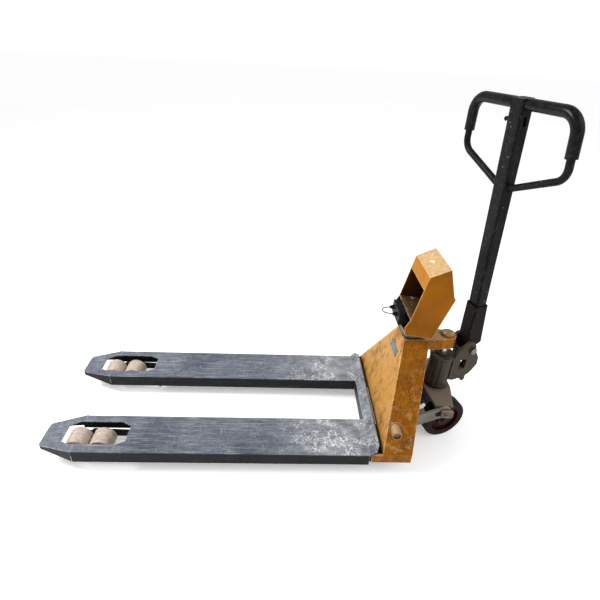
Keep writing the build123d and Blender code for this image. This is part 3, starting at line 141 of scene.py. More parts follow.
# ---------------------------------------------------------------- materials
def linear(code):
    """Linear colour of an sRGB hex value."""
    parts = [int(code[start:start + 2], 16) / 255 for start in (1, 3, 5)]
    curve = [part / 12.92 if part <= 0.04045 else ((part + 0.055) / 1.055) ** 2.4 for part in parts]
    return (*curve, 1.0)


def node(tree, kind, inputs=None, **settings):
    """Adds a shader node: settings are its properties, inputs are values or the sockets that feed it."""
    made = tree.nodes.new("ShaderNode" + kind)
    for name, value in settings.items():
        setattr(made, name, value)
    for key, value in (inputs or {}).items():
        if isinstance(value, bpy.types.NodeSocket):
            tree.links.new(value, made.inputs[key])
        else:
            made.inputs[key].default_value = value
    return made


class Finish:
    """A material under construction: its node tree and the patterns that the finishes share."""

    def __init__(self, name):
        self.material = bpy.data.materials.new(name)
        self.material.use_nodes = True
        self.tree = self.material.node_tree
        self.tree.nodes.clear()
        self.place = node(self.tree, "TexCoord").outputs["Object"]

    def noise(self, size, detail=4.0, rough=0.55, stretch=(1, 1, 1), shift=(0, 0, 0)):
        """Cloudy pattern with features of that size in millimetres, drawn out along an axis by stretch."""
        scale = [1000 / size / part for part in stretch]
        place = node(self.tree, "Mapping", {"Vector": self.place, "Location": shift, "Scale": scale})
        return node(self.tree, "TexNoise", {"Vector": place.outputs[0], "Scale": 1.0, "Detail": detail,
                                            "Roughness": rough}).outputs["Fac"]

    def curls(self, size, width, shift=(0, 0, 0)):
        """Thin curling scratches: where a cloudy pattern of that size crosses its middle value."""
        swing = self.times(self.noise(size, 3.0, 0.55, shift=shift), 0.5, "SUBTRACT")
        return self.between(self.times(swing, 0.0, "ABSOLUTE"), width, width * 0.3)

    def between(self, value, low, high, start=0.0, end=1.0):
        """Value stretched so that low becomes start and high becomes end, and held there."""
        return node(self.tree, "MapRange", {"Value": value, "From Min": low, "From Max": high,
                                            "To Min": start, "To Max": end}).outputs["Result"]

    def times(self, first, second, operation="MULTIPLY"):
        return node(self.tree, "Math", {0: first, 1: second}, operation=operation).outputs[0]

    def mix(self, amount, first, second):
        """Colour that goes from the first to the second as the amount goes from 0 to 1."""
        colours = [linear(part) if isinstance(part, str) else part for part in (first, second)]
        inputs = {0: amount, 6: colours[0], 7: colours[1]}
        return node(self.tree, "Mix", inputs, data_type="RGBA").outputs[2]

    def edges(self, radius):
        """1 on edges that a hand, pallet or boot rubs, 0 on flat faces; radius in millimetres."""
        rounded = node(self.tree, "Bevel", {"Radius": radius * MM}, samples=6).outputs[0]
        flat = node(self.tree, "NewGeometry").outputs["Normal"]
        facing = node(self.tree, "VectorMath", {0: rounded, 1: flat}, operation="DOT_PRODUCT")
        return self.between(facing.outputs["Value"], 0.995, 0.86)

    def upward(self):
        """1 where the surface faces up, 0 where it faces sideways or down."""
        normal = node(self.tree, "NewGeometry").outputs["Normal"]
        return self.between(node(self.tree, "SeparateXYZ", {0: normal}).outputs["Z"], 0.2, 0.9)

    def forward(self):
        """1 where the surface faces the forks, 0 where it faces sideways or back."""
        normal = node(self.tree, "NewGeometry").outputs["Normal"]
        return self.between(node(self.tree, "SeparateXYZ", {0: normal}).outputs["X"], -0.4, -0.9)

    def hollows(self, reach, lightest=0.8, darkest=0.3):
        """1 deep in corners and hollows, where shade falls, 0 in the open; reach in millimetres."""
        shade = node(self.tree, "AmbientOcclusion", {"Distance": reach * MM}, samples=8).outputs["AO"]
        return self.between(shade, lightest, darkest)

    def axis(self, letter, low, high):
        """0 to 1 between two places along an axis of the truck, in metres."""
        return self.between(node(self.tree, "SeparateXYZ", {0: self.place}).outputs[letter], low, high)

    def streaks(self, length, width, low, high, along=0, shift=(0, 0, 0)):
        """Sparse fine scratches along an axis, length and width in millimetres."""
        stretch = [1, 1, 1]
        stretch[along] = length / width
        lines = self.between(self.noise(width, 2.0, 0.6, stretch, shift), low, high)
        patches = self.between(self.noise(length * 0.7, 2.0, 0.5, shift=(3, 1, 2)), 0.42, 0.6)
        return self.times(lines, patches)

    def build(self, colour, roughness, height=None, depth=0.2, metallic=0.0, **inputs):
        """Ends the material in one principled shader; depth is the height of the relief in millimetres."""
        values = {"Base Color": colour, "Roughness": roughness, "Metallic": metallic}
        values.update(inputs)
        if height is not None:
            relief = node(self.tree, "Bump", {"Height": height, "Strength": 0.6, "Distance": depth * MM})
            values["Normal"] = relief.outputs["Normal"]
        shader = node(self.tree, "BsdfPrincipled", values)
        node(self.tree, "OutputMaterial", {"Surface": shader.outputs[0]})
        return self.material


def deck_enamel():
    """Blue-black enamel on the fork covers, rubbed grey by pallets and painted lighter on top as top light,
    scratched silver near the heel.
    """
    finish = Finish("deck_enamel")
    cloud = finish.noise(150, 5.0, 0.6)
    fine = finish.noise(12, 6.0, 0.7)
    top = finish.upward()
    heel = finish.axis("X", HEEL_X - 0.36, HEEL_X - 0.10)
    paint = finish.mix(finish.between(fine, 0.35, 0.68), "#0a0b0c", "#191a1d")
    rubbed = finish.mix(finish.between(cloud, 0.36, 0.64), "#4c505b", "#666b76")
    rubbed = finish.mix(finish.between(fine, 0.42, 0.66, 0.0, 0.55), rubbed, "#3c404a")
    # Painted top light: the rubbed grey goes on faces that look up and the dark enamel on the sides, so the
    # tops stand out lighter partly from real rubbing, partly as painted light.
    colour = finish.mix(top, paint, rubbed)
    drag = finish.between(finish.noise(5, 4.0, 0.65, (14, 1, 1)), 0.5, 0.72)
    colour = finish.mix(finish.times(finish.times(drag, top), 0.55), colour, "#8a8f98")
    bare = finish.between(finish.noise(60, 6.0, 0.72, (1.6, 1, 1), (7, 3, 1)), 0.4, 0.62, 0.15, 1.0)
    bare = finish.times(finish.times(bare, heel), finish.times(top, 0.85))
    colour = finish.mix(bare, colour, "#a3a7aa")
    marks = finish.streaks(170, 2.2, 0.57, 0.63)
    marks = finish.times(marks, finish.streaks(90, 1.8, 0.6, 0.66, 0, (5, 2, 9)), "MAXIMUM")
    marks = finish.times(marks, finish.streaks(40, 1.8, 0.63, 0.68, 1, (1, 7, 3)), "MAXIMUM")
    colour = finish.mix(finish.times(finish.times(marks, 0.7), finish.between(top, 0.0, 1.0, 0.12, 1.0)),
                        colour, "#a9adb3")
    curls = finish.times(finish.curls(34, 0.013), finish.curls(26, 0.014, (3, 6, 1)), "MAXIMUM")
    curls = finish.times(curls, finish.curls(48, 0.011, (8, 2, 4)), "MAXIMUM")
    curls = finish.times(curls, finish.between(finish.noise(60, 3.0, 0.6, shift=(6, 6, 2)), 0.44, 0.56))
    near = finish.between(heel, 0.1, 0.8, 0.1, 1.0)
    colour = finish.mix(finish.times(finish.times(curls, near), top), colour, "#dfe1e2")
    chips = finish.between(finish.noise(9, 3.0, 0.5, shift=(2, 2, 2)), 0.66, 0.7)
    colour = finish.mix(finish.times(chips, 0.7), colour, "#1f1a18")
    edge = finish.times(finish.edges(3), finish.between(fine, 0.4, 0.56))
    colour = finish.mix(finish.times(edge, 0.8), colour, "#c9cbcd")
    rough = finish.between(finish.times(marks, fine, "ADD"), 0.3, 1.3, 0.34, 0.6)
    return finish.build(colour, rough, finish.times(fine, marks, "SUBTRACT"), 0.3, 0.05,
                        **{"Specular IOR Level": 0.1})


def orange_enamel():
    """Orange enamel on folded steel: dusty in front, pale on top from fading plus a painted highlight, with
    painted shade in its corners and inside the hood.
    """
    finish = Finish("orange_enamel")
    cloud = finish.noise(110, 5.0, 0.6)
    fine = finish.noise(9, 6.0, 0.65)
    low = finish.axis("Z", 0.44, 0.12)
    mast = finish.axis("Z", 0.46, 0.40)
    colour = finish.mix(finish.between(cloud, 0.3, 0.7), "#794500", "#945800")
    colour = finish.mix(finish.times(finish.forward(), 0.6), colour, "#b0730c")
    dusty = finish.times(finish.forward(), finish.between(fine, 0.3, 0.66, 0.35, 0.95))
    colour = finish.mix(finish.times(dusty, mast), colour, "#c0904f")
    grime = finish.between(finish.noise(42, 7.0, 0.72, (1, 1, 1.8)), 0.5, 0.64)
    colour = finish.mix(finish.times(finish.times(grime, mast), 0.7), colour, "#5c3b1a")
    dust = finish.between(finish.noise(26, 6.0, 0.72, shift=(4, 4, 4)), 0.5, 0.66)
    colour = finish.mix(finish.times(finish.times(dust, low), 0.7), colour, "#b88c56")
    # Painted highlight: faces that look up are painted pale, partly from fading of the enamel, partly as a
    # stand-in for the glare of the top light.
    flat = finish.between(finish.upward(), 0.7, 1.0)
    faded_paint_and_glare = finish.times(flat, finish.between(fine, 0.3, 0.7, 0.45, 1.0))
    colour = finish.mix(faded_paint_and_glare, colour, "#d6b585")
    runs = finish.streaks(80, 6.0, 0.52, 0.64, 2)
    colour = finish.mix(finish.times(finish.times(runs, mast), 0.6), colour, "#4a2a12")
    # Painted shade: hollows of the hood, above the mast, darkened nearly to black-brown by ambient
    # occlusion.
    inside = finish.times(finish.hollows(170, 0.95, 0.55), finish.times(1.0, mast, "SUBTRACT"))
    colour = finish.mix(finish.times(inside, 0.92), colour, "#2c1606")
    # Painted shade: every corner of the orange steel darkened brown by ambient occlusion.
    colour = finish.mix(finish.times(finish.hollows(22), 0.5), colour, "#341a08")
    chips = finish.between(finish.noise(7, 3.0, 0.5, shift=(8, 1, 5)), 0.67, 0.7)
    colour = finish.mix(finish.times(finish.times(chips, mast), 0.9), colour, "#33201a")
    edge = finish.times(finish.edges(3), finish.between(fine, 0.38, 0.56))
    colour = finish.mix(finish.times(edge, 0.7), colour, "#e6cc9f")
    spots = finish.between(finish.noise(24, 5.0, 0.7, shift=(1, 6, 2)), 0.6, 0.68)
    colour = finish.mix(finish.times(finish.times(spots, flat), 0.9), colour, "#f2ead9")
    scratch = finish.times(finish.curls(40, 0.012, (2, 8, 1)), mast)
    colour = finish.mix(finish.times(scratch, 0.14), colour, "#dcae62")
    rough = finish.between(finish.times(grime, fine, "ADD"), 0.3, 1.3, 0.36, 0.7)
    relief = finish.times(fine, chips, "SUBTRACT")
    return finish.build(colour, rough, relief, 0.2, **{"Specular IOR Level": 0.08})


def dull_enamel(name, dark, light, bare, gloss, edge_amount=0.6):
    """Thin enamel on rolled steel that has gone dull, with bare bright edges and fine scratches."""
    finish = Finish(name)
    cloud = finish.noise(50, 5.0, 0.6)
    fine = finish.noise(6, 6.0, 0.65)
    colour = finish.mix(finish.between(cloud, 0.32, 0.7), dark, light)
    marks = finish.streaks(50, 1.6, 0.6, 0.68, 2)
    marks = finish.times(marks, finish.streaks(40, 1.4, 0.62, 0.7, 0, (3, 3, 3)), "MAXIMUM")
    colour = finish.mix(finish.times(marks, 0.4), colour, bare)
    chips = finish.between(finish.noise(12, 3.0, 0.5, shift=(3, 9, 5)), 0.7, 0.72)
    colour = finish.mix(chips, colour, bare)
    edge = finish.times(finish.edges(2), finish.between(fine, 0.42, 0.6))
    colour = finish.mix(finish.times(edge, edge_amount), colour, bare)
    rough = finish.between(finish.times(cloud, fine, "ADD"), 0.6, 1.4, gloss, gloss + 0.22)
    return finish.build(colour, rough, fine, 0.12, **{"Specular IOR Level": 0.09})


def cast_iron(name, dark, light, bright):
    """Sand-cast iron: a grainy skin, painted lighter on faces that look up as top light, painted shade in
    its hollows, edges rubbed brighter.
    """
    finish = Finish(name)
    cloud = finish.noise(40, 5.0, 0.6)
    grit = finish.noise(1.8, 4.0, 0.6)
    fine = finish.noise(9, 5.0, 0.6)
    colour = finish.mix(finish.between(cloud, 0.3, 0.7), dark, light)
    colour = finish.mix(finish.times(finish.between(fine, 0.5, 0.72), 0.5), colour, dark)
    # Painted top light: faces that look up are painted half way towards the bright colour.
    colour = finish.mix(finish.times(finish.upward(), 0.5), colour, bright)
    # Painted shade: hollows darkened nearly black by ambient occlusion.
    colour = finish.mix(finish.times(finish.hollows(35), 0.85), colour, "#120d09")
    edge = finish.times(finish.edges(2), finish.between(fine, 0.3, 0.6))
    colour = finish.mix(finish.times(edge, 0.7), colour, bright)
    rough = finish.between(finish.times(cloud, grit, "ADD"), 0.6, 1.4, 0.42, 0.74)
    relief = finish.times(grit, fine, "ADD")
    return finish.build(colour, rough, relief, 0.45, 0.2, **{"Specular IOR Level": 0.3})


def turned_steel(name, dark, light, rough_low=0.22, oil="#2a221b"):
    """Turned or ground steel: fine tool marks round the bar and films of old oil."""
    finish = Finish(name)
    cloud = finish.noise(22, 5.0, 0.6)
    lines = finish.noise(0.7, 2.0, 0.5, (1, 12, 1))
    colour = finish.mix(finish.between(lines, 0.35, 0.65), dark, light)
    colour = finish.mix(finish.between(cloud, 0.5, 0.72, 0.0, 0.7), colour, oil)
    rough = finish.between(finish.times(cloud, lines, "ADD"), 0.6, 1.4, rough_low, rough_low + 0.3)
    return finish.build(colour, rough, lines, 0.05, 0.9)


def tyre_rubber():
    """Black rubber tread, scuffed grey, with floor dust in fine cracks."""
    finish = Finish("tyre_rubber")
    fine = finish.noise(4, 6.0, 0.7)
    cloud = finish.noise(35, 4.0, 0.6)
    colour = finish.mix(finish.between(cloud, 0.35, 0.7), "#0c0807", "#171110")
    colour = finish.mix(finish.between(fine, 0.6, 0.75, 0.0, 0.4), colour, "#4a413a")
    edge = finish.times(finish.edges(6), 0.5)
    colour = finish.mix(edge, colour, "#2b2321")
    return finish.build(colour, finish.between(fine, 0.3, 0.7, 0.6, 0.9), fine, 0.3,
                        **{"Specular IOR Level": 0.2})


def roller_nylon():
    """Turned cast nylon, pale, with rolled-in dirt, dark rings and small nicks."""
    finish = Finish("roller_nylon")
    cloud = finish.noise(16, 6.0, 0.65)
    rings = finish.noise(3.0, 3.0, 0.5, (20, 1, 20))
    fine = finish.noise(2.5, 4.0, 0.6)
    colour = finish.mix(finish.between(cloud, 0.3, 0.7), "#a08f82", "#cdbcaf")
    colour = finish.mix(finish.between(rings, 0.5, 0.68, 0.0, 0.6), colour, "#75675c")
    colour = finish.mix(finish.between(fine, 0.64, 0.74, 0.0, 0.7), colour, "#4f443b")
    edge = finish.times(finish.edges(3), 0.5)
    colour = finish.mix(edge, colour, "#6b5d52")
    return finish.build(colour, finish.between(cloud, 0.3, 0.7, 0.4, 0.6), finish.times(fine, rings, "ADD"),
                        0.2, **{"Subsurface Weight": 0.05, "Subsurface Radius": (0.004, 0.003, 0.002)})


def moulded_plastic(name, dark, light, gloss, grain=1.4):
    """Moulded plastic or rubber with a fine spark-eroded grain, rubbed smoother where hands go."""
    finish = Finish(name)
    cloud = finish.noise(30, 4.0, 0.6)
    grit = finish.noise(grain, 3.0, 0.6)
    colour = finish.mix(finish.between(cloud, 0.3, 0.7), dark, light)
    scuffs = finish.streaks(22, 0.9, 0.62, 0.7, shift=(6, 2, 4))
    colour = finish.mix(finish.times(scuffs, 0.45), colour, "#8d8c90")
    rough = finish.between(finish.times(cloud, scuffs, "ADD"), 0.3, 1.2, gloss, gloss + 0.3)
    return finish.build(colour, rough, grit, 0.06, **{"Specular IOR Level": 0.12})


def display_window():
    """Smoke-tinted acrylic over a dark liquid-crystal field, with fine wipe marks."""
    finish = Finish("display_window")
    wipe = finish.noise(1.2, 2.0, 0.5, (1, 14, 1))
    cloud = finish.noise(18, 4.0, 0.6)
    colour = finish.mix(finish.between(cloud, 0.3, 0.7), "#23291f", "#39412f")
    colour = finish.mix(finish.between(wipe, 0.55, 0.75, 0.0, 0.3), colour, "#6a7263")
    return finish.build(colour, finish.between(wipe, 0.3, 0.7, 0.06, 0.2), wipe, 0.02)


def studio_floor():
    """White studio floor with a faint glow of its own, so that it stays white far from the lamps."""
    finish = Finish("studio_floor")
    cloud = finish.noise(900, 3.0, 0.5)
    colour = finish.mix(finish.between(cloud, 0.3, 0.7), "#fafafa", "#fdfdfd")
    return finish.build(colour, 0.9, **{"Emission Color": (1, 1, 1, 1), "Emission Strength": 0.32})


# ---------------------------------------------------------------- new pieces, modelled one by one
def start_piece(name, material, body):
    """Names the active object, gives it its finish and lets it ride on a body."""
    piece = bpy.context.object
    piece.name = name
    bpy.ops.object.mode_set(mode="OBJECT")
    bpy.ops.object.transform_apply(location=True, rotation=True, scale=True)
    piece.data.materials.clear()
    piece.data.materials.append(material)
    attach(piece, body)
    return piece


def soften(piece, width, segments=2, angle=35):
    """Rounds the sharp edges and shades the rest smooth."""
    bevel = piece.modifiers.new("rounded", "BEVEL")
    bevel.width = width
    bevel.segments = segments
    bevel.limit_method = "ANGLE"
    bevel.angle_limit = math.radians(30)
    bpy.context.view_layer.objects.active = piece
    piece.select_set(True)
    bpy.ops.object.modifier_apply(modifier=bevel.name)
    bpy.ops.object.shade_smooth_by_angle(angle=math.radians(angle))


def nothing_selected():
    if bpy.context.object and bpy.context.object.mode != "OBJECT":
        bpy.ops.object.mode_set(mode="OBJECT")
    bpy.ops.object.select_all(action="DESELECT")


def facing(direction):
    """Turn that points a piece's own Z along a direction."""
    return Vector(direction).to_track_quat("Z", "Y").to_euler()


def round_curve(name, radius, resolution):
    """Adds an empty curve that becomes a round bar of that radius."""
    curve = bpy.data.curves.new(name, "CURVE")
    curve.dimensions = "3D"
    curve.bevel_depth = radius
    curve.bevel_resolution = resolution
    holder = bpy.data.objects.new(name, curve)
    bpy.context.scene.collection.objects.link(holder)
    return holder


def bar_piece(name, steps, radius, swell, material, body):
    """Closed round bar through the steps; swell gives its thickness at each, as a share."""
    nothing_selected()
    bar = round_curve(name, radius, 3)
    bar.data.use_fill_caps = True
    line = bar.data.splines.new("POLY")
    line.points.add(len(steps) - 1)
    for number, (point, step) in enumerate(zip(line.points, steps)):
        point.co = (*step, 1)
        point.radius = swell(number)
    bpy.context.view_layer.objects.active = bar
    bar.select_set(True)
    bpy.ops.object.convert(target="MESH")
    piece = start_piece(name, material, body)
    bpy.ops.object.shade_smooth_by_angle(angle=math.radians(60))
    return piece


def select_faces(piece, test):
    """Selects the faces of the piece in edit mode for which the test holds."""
    bpy.ops.object.mode_set(mode="OBJECT")
    for face in piece.data.polygons:
        face.select = test(face)
    bpy.ops.object.mode_set(mode="EDIT")


def hex_bolt(name, place, direction, across, material, body):
    """Hexagon bolt head on a washer: a chamfered head with a shallow dish on top."""
    nothing_selected()
    turn = facing(direction)
    ahead = Vector(direction).normalized()
    height = across * 0.5
    washer = across * 0.12
    middle = Vector(place) + ahead * (washer + height / 2)
    bpy.ops.mesh.primitive_cylinder_add(vertices=6, radius=across / FLATS_TO_CORNER, depth=height,
                                        location=middle, rotation=turn)
    head = bpy.context.object
    bpy.ops.object.transform_apply(location=True, rotation=True, scale=True)
    select_faces(head, lambda face: face.normal.dot(ahead) > 0.9)
    bpy.ops.mesh.inset(thickness=across * 0.14, depth=-across * 0.03)
    head = start_piece(name, material, body)
    soften(head, across * 0.05)
    nothing_selected()
    bpy.ops.mesh.primitive_cylinder_add(vertices=36, radius=across * 0.86, depth=washer,
                                        location=Vector(place) + ahead * washer / 2, rotation=turn)
    ring = bpy.context.object
    bpy.ops.object.transform_apply(location=True, rotation=True, scale=True)
    select_faces(ring, lambda face: face.normal.dot(ahead) > 0.9)
    bpy.ops.mesh.inset(thickness=across * 0.2, depth=-washer * 0.3)
    ring = start_piece(name + "_washer", material, body)
    soften(ring, washer * 0.3)


def rivet(name, place, direction, radius, material, body):
    """Domed rivet head."""
    nothing_selected()
    ahead = Vector(direction).normalized()
    turn = facing(direction)
    bpy.ops.mesh.primitive_cylinder_add(vertices=24, radius=radius, depth=radius * 0.5,
                                        location=Vector(place) + ahead * radius * 0.25, rotation=turn)
    dome = bpy.context.object
    bpy.ops.object.transform_apply(location=True, rotation=True, scale=True)
    select_faces(dome, lambda face: face.normal.dot(ahead) > 0.9)
    bpy.ops.mesh.inset(thickness=radius * 0.35, depth=radius * 0.25)
    bpy.ops.mesh.inset(thickness=radius * 0.3, depth=radius * 0.08)
    dome = start_piece(name, material, body)
    soften(dome, radius * 0.1)


def ripple_swell(number):
    """Thickness of a bead at one of its ripples, uneven as a hand-laid weld is."""
    return 1.0 + 0.16 * math.sin(number * 2.1) + 0.12 * (number % 2)


def weld_bead(name, points, width, material, body):
    """Weld bead: a line of overlapping ripples along straight runs between points."""
    steps = []
    ripple = width * 0.45
    for start, end in zip(points, points[1:]):
        run = Vector(end) - Vector(start)
        count = max(int(run.length / ripple), 2)
        steps += [Vector(start) + run * (number / count) for number in range(count)]
    steps.append(Vector(points[-1]))
    bar_piece(name, steps, width / 2, ripple_swell, material, body)


def weld_ring(name, place, material, body):
    """Bead all the way round a tube; place gives a point of the ring for an angle."""
    points = [place(math.radians(angle)) for angle in range(0, 361, 15)]
    weld_bead(name, points, WELD_WIDTH, material, body)


def stub_weld(angle):
    """Ring round the side stub where it meets the mast's sloping left plate."""
    x = STUB_X + STUB_WELD_RADIUS * math.cos(angle)
    z = STUB_Z + STUB_WELD_RADIUS * math.sin(angle)
    return Vector((x, SIDE_SLOPE * (z - DECK_Z) - HALF_WIDTH, z))


def tube_weld(side, up, reach):
    """Ring round a handle tube where it meets a side of the bar."""
    return lambda angle: on_tiller(side * (BAR_HALF + WELD_OFF_BAR), up + reach * math.cos(angle),
                                   CROSSBAR_RING * math.sin(angle))


def add_welds(enamel, black):
    weld_ring("stub_weld", stub_weld, enamel, "chassis")
    for name, side in (("left", -1), ("right", 1)):
        leg = tube_weld(side, LOOP_JOIN_UP, LEG_RING)
        crossbar = tube_weld(side, CROSSBAR_UP, CROSSBAR_RING)
        weld_ring(f"leg_weld_{name}", leg, black, "tiller")
        weld_ring(f"crossbar_weld_{name}", crossbar, black, "tiller")


def add_bolts(steel):
    for number, angle in enumerate(PUMP_BOLT_ANGLES):
        around = math.radians(angle)
        place = on_pump(PUMP_BOLT_CIRCLE * math.cos(around), PUMP_BOLT_CIRCLE * math.sin(around), PUMP_TOP_Z)
        hex_bolt(f"pump_bolt_{number + 1}", place, (0, 0, 1), PUMP_BOLT_ACROSS, steel,
                 "pump_unit")
    low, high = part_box("trunnions")
    for name, y, side in (("left", low[1], -1), ("right", high[1], 1)):
        hex_bolt(f"trunnion_bolt_{name}", (STEER_X, y, TRUNNION_Z), (0, side, 0), TRUNNION_BOLT_ACROSS,
                 steel, "carrier")


def data_plate(material, rivet_material):
    """Blank aluminium data plate, slightly dished inside its rim, with a rivet in each corner."""
    nothing_selected()
    place, normal, up = Vector(PLATE_PLACE), PLATE_NORMAL, PLATE_UP
    side = up.cross(normal).normalized()
    turn = Matrix((side, up, normal)).transposed().to_euler()
    bpy.ops.mesh.primitive_cube_add(size=1, location=place + normal * PLATE_THICKNESS / 2, rotation=turn,
                                    scale=(PLATE_WIDTH, PLATE_HEIGHT, PLATE_THICKNESS))
    plate = bpy.context.object
    bpy.ops.object.transform_apply(location=True, rotation=True, scale=True)
    select_faces(plate, lambda face: face.normal.dot(normal) > 0.9)
    bpy.ops.mesh.inset(thickness=PLATE_RIM, depth=0)
    bpy.ops.mesh.inset(thickness=0.0006, depth=-0.0004)
    plate = start_piece("data_plate", material, "chassis")
    soften(plate, 0.0003)
    corners = [(across, along) for across in (-1, 1) for along in (-1, 1)]
    for number, (across, along) in enumerate(corners):
        corner = place + side * across * (PLATE_WIDTH / 2 - RIVET_INSET)
        corner += up * along * (PLATE_HEIGHT / 2 - RIVET_INSET) + normal * RIVET_SEAT
        rivet(f"data_plate_rivet_{number + 1}", corner, normal, RIVET_RADIUS, rivet_material,
              "chassis")


def coil_steps(middle, radius, bottom, top):
    """Points of the spring's coil, its ends wound flat."""
    count = SPRING_TURNS * TURN_STEPS
    for share in (number / count for number in range(count + 1)):
        risen = min(max((share - SPRING_FLAT) / (1 - 2 * SPRING_FLAT), 0.0), 1.0)
        turn = 2 * math.pi * SPRING_TURNS * share
        yield Vector((middle[0] + radius * math.cos(turn), middle[1] + radius * math.sin(turn),
                      bottom + (top - bottom) * risen))


def return_spring(material):
    """Coil spring between the plunger's guide and head; on the truck it shortens as the plunger goes down,
    but this coil keeps one length.
    """
    low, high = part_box("plunger_spring")
    middle = [(low[k] + high[k]) / 2 for k in (0, 1)]
    radius = (high[0] - low[0]) / 2 - SPRING_WIRE
    steps = list(coil_steps(middle, radius, low[2] + SPRING_WIRE, high[2] - SPRING_WIRE))
    coil = bar_piece("return_spring", steps, SPRING_WIRE, lambda number: 1.0, material,
                     "pump_unit")
    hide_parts("plunger_spring")
    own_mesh(coil)


def cell_lead(material):
    """Load-cell lead that loops out of one gland and back into the other."""
    first, last = GLAND_ACROSS
    low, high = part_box("cell_cable")
    front = high[0]
    height = (low[2] + high[2]) / 2
    out = front - CABLE_REACH
    route = [(front, first, height), (out, first, height), (out, last, height), (front, last, height)]
    lead = round_curve("cell_lead", CABLE_DIAMETER / 2, 5)
    lead.data.resolution_u = 24
    line = lead.data.splines.new("NURBS")
    line.points.add(len(route) - 1)
    for point, place in zip(line.points, route):
        point.co = (*place, 1)
    line.order_u = 3
    line.use_endpoint_u = True
    lead.data.materials.append(material)
    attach(lead, "chassis")
    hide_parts("cell_cable")


# ---------------------------------------------------------------- finish of each piece of the frame
def dress(material, *names):
    """Gives frame pieces their finish: a name alone, or the start of the names of several."""
    for name, piece in NODES.items():
        if any(name == wanted or name.startswith(wanted + "_") for wanted in names):
            piece.data.materials.clear()
            piece.data.materials.append(material)


def dress_frame(finishes):
    dress(finishes["deck"], "deck_cross_plate", "fork_cover", "fork_noses")
    dress(finishes["orange"], "front_plate", "frame_sides", "frame_head", "hood")
    dress(finishes["stub"], "side_stub")
    dress(finishes["bracket"], "hood_bracket")
    dress(finishes["under"], "inner_frame", "roller_bracket", "bogie")
    dress(finishes["bar"], "drawbar", "handle_loop", "release_lever")
    dress(finishes["sleeve"], "drawbar_sleeve")
    dress(finishes["hub"], "steer_hub")
    dress(finishes["pump"], "pump_body", "spindle")
    dress(finishes["carrier"], "carrier", "trunnions")
    dress(finishes["rocker"], "rocker")
    dress(finishes["pin"], "rocker_shaft", "bracket_pins", "pivot_bolt", "plunger", "tiller_foot",
          "cam_roller", "release_rod", "roller_axles", "push_rod")
    dress(finishes["bearing"], "thrust_bearing", "steer_bearings", "wheel_axle")
    dress(finishes["chrome"], "ram")
    dress(finishes["alloy"], "load_cells")
    dress(finishes["tyre"], "steer_tyre")
    dress(finishes["nylon"], "load_roller")
    dress(finishes["grip"], "grips")
    dress(finishes["case"], "indicator_case", "junction_box", "cable_glands")
    dress(finishes["window"], "indicator_lens")
    dress(finishes["key"], "key")


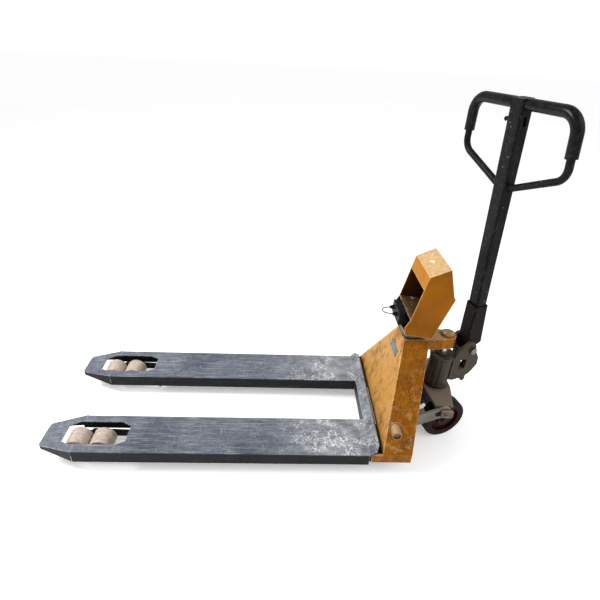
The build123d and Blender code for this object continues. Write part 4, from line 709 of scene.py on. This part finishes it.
def make_finishes():
    return {
        "deck": deck_enamel(),
        "orange": orange_enamel(),
        "stub": cast_iron("stub_steel", "#5f4a33", "#9c7a54", "#c7a780"),
        "under": dull_enamel("black_undercoat", "#0c0c0e", "#17171a", "#57534e", 0.5),
        "bracket": dull_enamel("grey_bracket_enamel", "#3c3a36", "#6d6860", "#98928a", 0.5),
        "bar": dull_enamel("black_bar_enamel", "#070709", "#101013", "#6c6c71", 0.3, 0.35),
        "sleeve": dull_enamel("brown_black_enamel", "#0a0705", "#15100c", "#54463a", 0.4, 0.5),
        "hub": dull_enamel("wheel_enamel", "#1a0608", "#3a0f14", "#5b2a28", 0.45),
        "pump": cast_iron("pump_casting", "#2b241a", "#463c2c", "#74674f"),
        "rocker": cast_iron("rocker_steel", "#5e5852", "#8a837b", "#b0aaa2"),
        "carrier": cast_iron("carrier_casting", "#4c4035", "#75675a", "#a59686"),
        "pin": turned_steel("oiled_steel", "#4a4642", "#8e8a85"),
        "bearing": turned_steel("blackened_steel", "#0d0c0c", "#1d1b1a", 0.4),
        "chrome": turned_steel("ram_chrome", "#a2a4a8", "#d6d8da", 0.08, "#5a5348"),
        "spring": turned_steel("spring_wire", "#232224", "#4b4a4c", 0.3),
        "alloy": turned_steel("milled_alloy", "#9c9da0", "#c4c5c7", 0.3),
        "plate": turned_steel("plate_alloy", "#5c6468", "#8d9598", 0.4, "#4b5358"),
        "tyre": tyre_rubber(),
        "nylon": roller_nylon(),
        "grip": moulded_plastic("grip_vinyl", "#060609", "#0e0e13", 0.16, 2.2),
        "case": moulded_plastic("case_abs", "#0a0a0a", "#171615", 0.45),
        "key": moulded_plastic("key_silicone", "#22262d", "#353b44", 0.5),
        "jacket": moulded_plastic("cable_jacket", "#2c3a47", "#44566a", 0.35),
        "window": display_window(),
    }


# ---------------------------------------------------------------- floor and light
def add_stage():
    nothing_selected()
    bpy.ops.mesh.primitive_plane_add(size=60, location=(0, 0, -0.0005))
    floor = bpy.context.object
    floor.name = "floor"
    floor.data.materials.append(studio_floor())


def add_area_light(name, place, target, size, power):
    lamp = bpy.data.lights.new(name, "AREA")
    lamp.shape = "DISK"
    lamp.size = size
    lamp.energy = power
    holder = bpy.data.objects.new(name, lamp)
    bpy.context.scene.collection.objects.link(holder)
    holder.location = place
    holder.rotation_euler = (Vector(target) - Vector(place)).to_track_quat("-Z", "Y").to_euler()


def add_lights():
    """White surroundings, seen brighter than they light, a lamp before the forks and a weak one behind."""
    world = bpy.data.worlds.new("studio")
    world.use_nodes = True
    tree = world.node_tree
    seen = node(tree, "LightPath").outputs["Is Camera Ray"]
    strength = node(tree, "MapRange", {"Value": seen, "To Min": SURROUNDINGS_LIT,
                                       "To Max": SURROUNDINGS_SEEN}).outputs["Result"]
    tree.links.new(strength, tree.nodes["Background"].inputs["Strength"])
    tree.nodes["Background"].inputs["Color"].default_value = (1, 1, 1, 1)
    bpy.context.scene.world = world
    bpy.context.scene.view_settings.view_transform = "Standard"
    add_area_light("key_light", place=(-2.6, 0.3, 2.8), target=(0.1, 0, 0.2), size=1.8, power=130)
    add_area_light("fill_light", place=(2.0, -1.4, 2.6), target=(0.2, 0, 0.3), size=2.4, power=22)


# ---------------------------------------------------------------- the scene
add_camera()
finishes = make_finishes()
cell_lead(finishes["jacket"])
dress_frame(finishes)
return_spring(finishes["spring"])
add_welds(finishes["orange"], finishes["bar"])
add_bolts(finishes["pin"])
data_plate(finishes["plate"], finishes["pin"])
add_stage()
add_lights()
